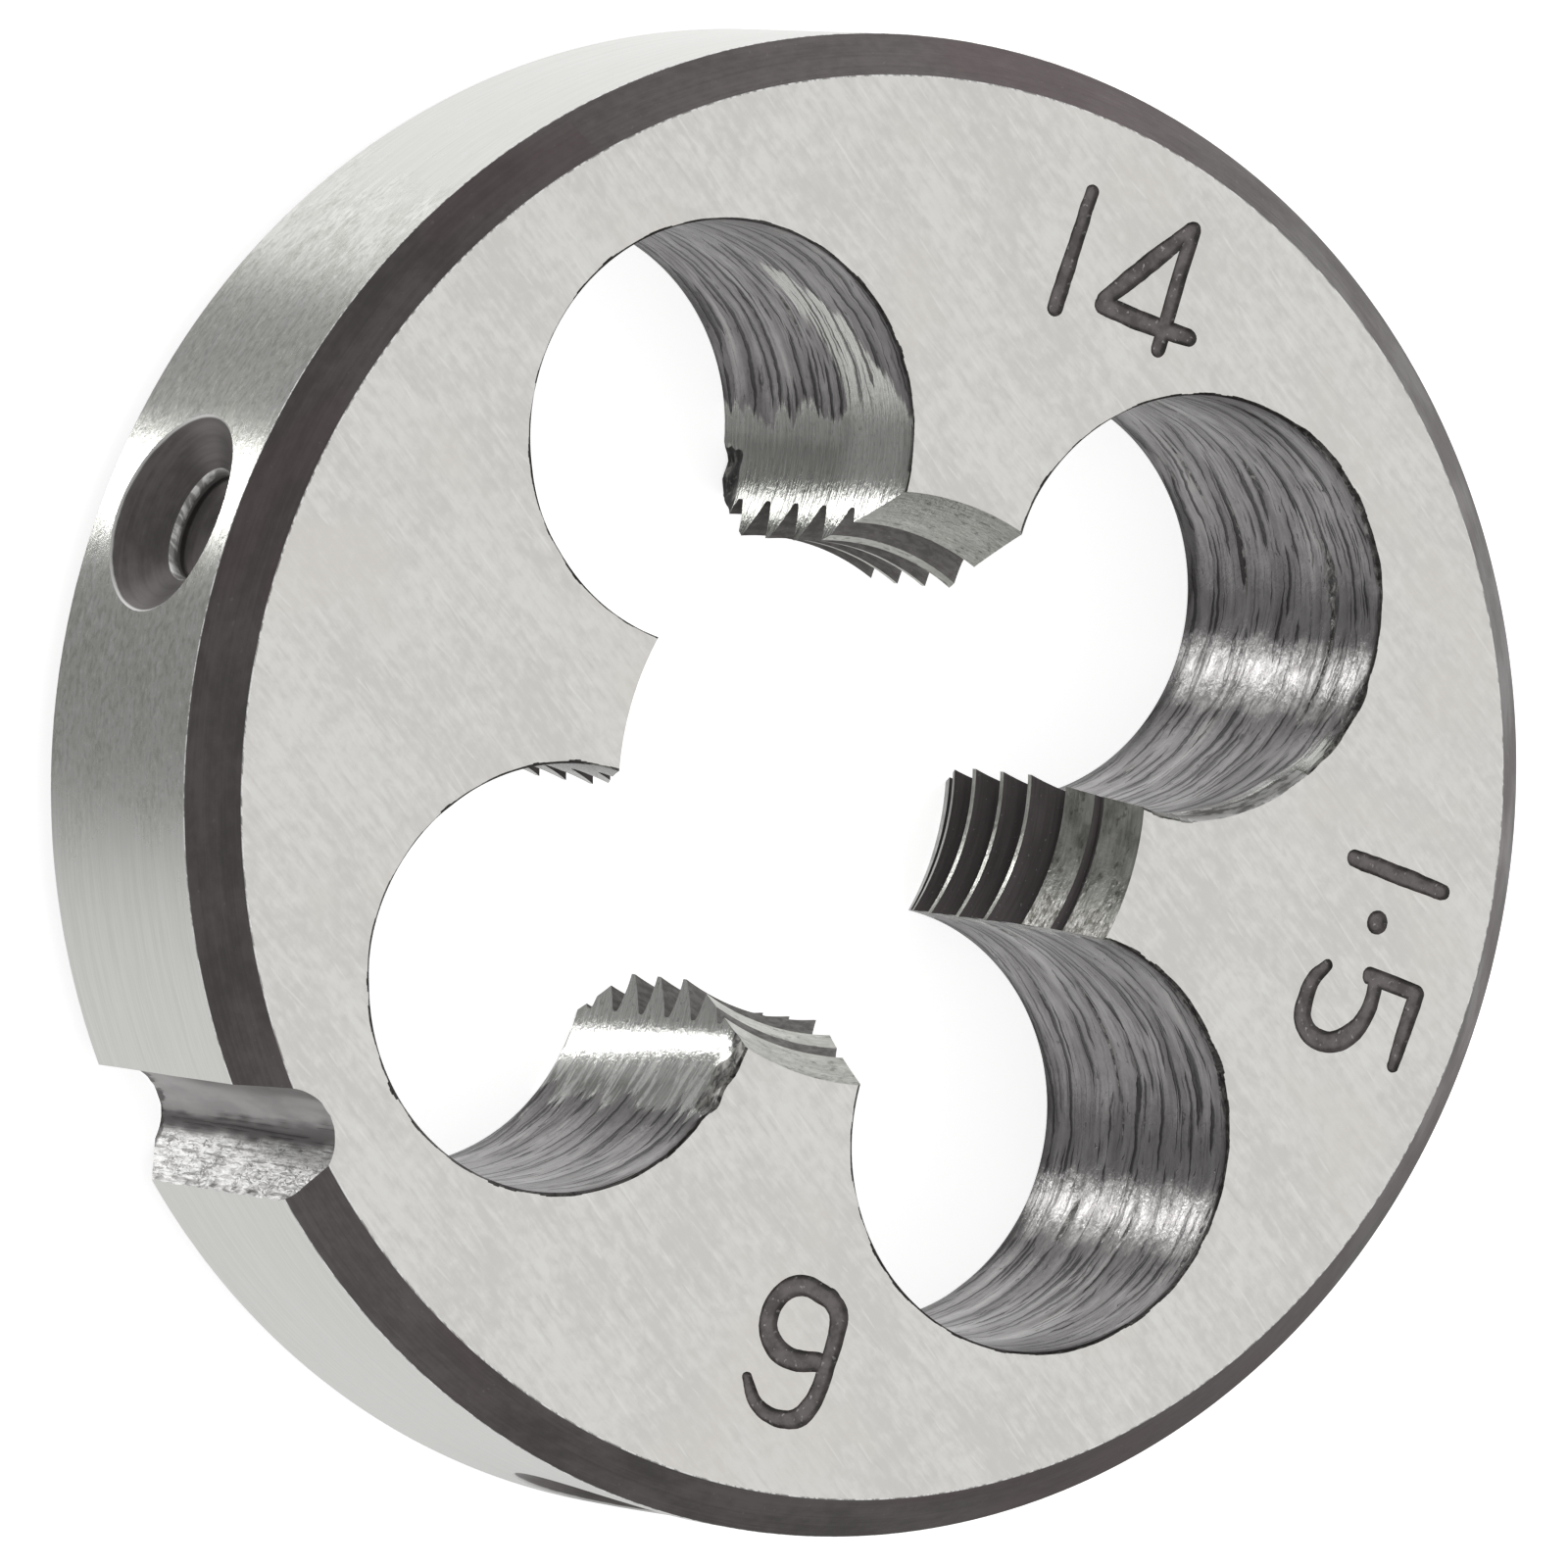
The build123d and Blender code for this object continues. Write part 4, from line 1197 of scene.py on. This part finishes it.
        att.data.foreach_set("value", v.astype(np.float32))

    # Smooth, with sharp edges where the surface really turns.
    me.polygons.foreach_set("use_smooth", np.ones(npoly, bool))
    order = np.argsort(le, kind="stable")
    es, ps = le[order], pid[order]
    first = np.searchsorted(es, np.arange(nedge))
    count = np.bincount(es, minlength=nedge)
    sharp = count != 2
    two = np.where(count == 2)[0]
    a, b = ps[first[two]], ps[first[two] + 1]
    dot = (pn[a] * pn[b]).sum(1)
    differ = mat[a] != mat[b]
    sharp[two] = (dot < math.cos(math.radians(38.0))) | (differ & (dot < math.cos(math.radians(20.0))))
    att = me.attributes.new("sharp_edge", "BOOLEAN", "EDGE")
    att.data.foreach_set("value", sharp)
    me.normals_split_custom_set([tuple(v) for v in N])
    me.update()


# ---- the die ------------------------------------------------------------
die = blank()
die.name = "die_body_detail"
cut(die, bore_plug())
cut(die, thread_ridge())
for angle, seed in ((0, 11), (90, 23), (180, 37), (270, 53)):
    cut(die, chip_cutter(angle, seed))
cut(die, notch_cutter())
for angle in REC_ANG:
    cut(die, recess_cutter(angle))
n = 0
for up, strokes in MARKS:
    for pts in strokes:
        n += 1
        cut(die, stroke(pts, 0.13, 900 + n, up))
dress(die.data)

die.data.transform(Matrix.Scale(MM, 4))
die.data.update()
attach(die, "root")
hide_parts("die_body")

# ---- camera, as fitted to the photo -------------------------------------
cam_data = bpy.data.cameras.new("camera")
cam = bpy.data.objects.new("camera", cam_data)
bpy.context.scene.collection.objects.link(cam)
cam_data.sensor_fit = "HORIZONTAL"
cam_data.sensor_width = 36.0
cam_data.lens = 421.1412500273852
cam_data.clip_start = 0.01
cam_data.clip_end = 20.0
X = Vector((0.3950326341094159, 0.7940474369350691, 0.461993382945496))
Y = Vector((-0.8822236709971161, 0.4681405470917876, -0.05025756162980508))
Z = Vector((-0.25618472304364326, -0.3877281213240138, 0.8854582382097997))
loc = Vector((-0.11943337795590753, -0.18104090575236307, 0.4178441386522384))
cam.matrix_world = Matrix(((X.x, Y.x, Z.x, loc.x), (X.y, Y.y, Z.y, loc.y), (X.z, Y.z, Z.z, loc.z), (0, 0, 0, 1)))
bpy.context.scene.camera = cam

# ---- floor: a pale light table, so lamps under it reach the walls of the holes
fm = bpy.data.meshes.new("floor")
fm.from_pydata([(-3, -3, 0), (3, -3, 0), (3, 3, 0), (-3, 3, 0)], [], [(0, 1, 2, 3)])
floor = bpy.data.objects.new("floor", fm)
floor.location.z = -0.00002
floor.visible_glossy = False
floor.visible_shadow = False
bpy.context.scene.collection.objects.link(floor)
fmat = bpy.data.materials.new("floor")
fmat.use_nodes = True
fb = fmat.node_tree.nodes["Principled BSDF"]
fb.inputs["Base Color"].default_value = (0.80, 0.80, 0.80, 1)
fb.inputs["Roughness"].default_value = 0.9
fb.inputs["Emission Color"].default_value = (1, 1, 1, 1)
fb.inputs["Emission Strength"].default_value = 0.78
fm.materials.append(fmat)


# ---- light --------------------------------------------------------------
def area(name, centre, facing, across, size, radiance):
    """Rectangular lamp at centre that shines towards the point facing. across is the
    direction of its first side."""
    d = bpy.data.lights.new(name, "AREA")
    d.shape = "RECTANGLE"
    d.size, d.size_y = size
    d.energy = radiance * size[0] * size[1] * math.pi
    o = bpy.data.objects.new(name, d)
    bpy.context.scene.collection.objects.link(o)
    c = Vector(centre)
    z = (c - Vector(facing)).normalized()
    x = Vector(across)
    x = (x - z * x.dot(z)).normalized()
    y = z.cross(x)
    o.matrix_world = Matrix(((x.x, y.x, z.x, c.x), (x.y, y.y, z.y, c.y), (x.z, y.z, z.z, c.z), (0, 0, 0, 1)))
    return o


def aim(az, el):
    a, e = math.radians(az), math.radians(el)
    return Vector((math.cos(a) * math.cos(e), math.sin(a) * math.cos(e), math.sin(e)))


def under(name, az, near, far, width, radiance, depth=0.30):
    """Flat panel under the table that shines up. It reaches from near to far metres
    out from the middle in the direction az."""
    r = aim(az, 0.0)
    c = r * ((near + far) / 2.0) + Vector((0, 0, -depth))
    area(name, c, c + Vector((0, 0, 1)), r, (far - near, width), radiance)


area("key", aim(56.5, 70.0) * 0.5, (0, 0, 0.005), aim(146.5, 0.0), (0.9, 0.9), 0.70)
area("horizon", aim(138.0, 8.0) * 1.3, (0, 0, 0.005), aim(48.0, 0.0), (1.1, 0.5), 0.45)
under("strip", 202.5, 0.112, 0.235, 0.025, 9.6)
area("spark", aim(199.0, -31.0) * 0.6, (0, 0, 0.005), aim(109.0, 0.0), (0.16, 0.13), 3.0)
area("low_front", aim(298.0, 15.0) * 1.2, (0, 0, 0.005), aim(28.0, 0.0), (1.0, 0.5), 0.26)
area("low_back", aim(60.0, -27.0) * 0.9, (0, 0, 0.005), aim(150.0, 0.0), (0.8, 0.5), 0.22)
under("fill_right", 319.0, 0.085, 0.70, 0.9, 0.60)
under("fill_left", 117.5, 0.112, 2.0, 0.9, 0.85)
w = bpy.data.worlds.new("world")
bpy.context.scene.world = w
w.use_nodes = True
w.node_tree.nodes["Background"].inputs[0].default_value = (1.0, 1.0, 1.0, 1)
w.node_tree.nodes["Background"].inputs[1].default_value = 0.36

bpy.context.scene.view_settings.view_transform = "Standard"
bpy.context.scene.view_settings.look = "None"
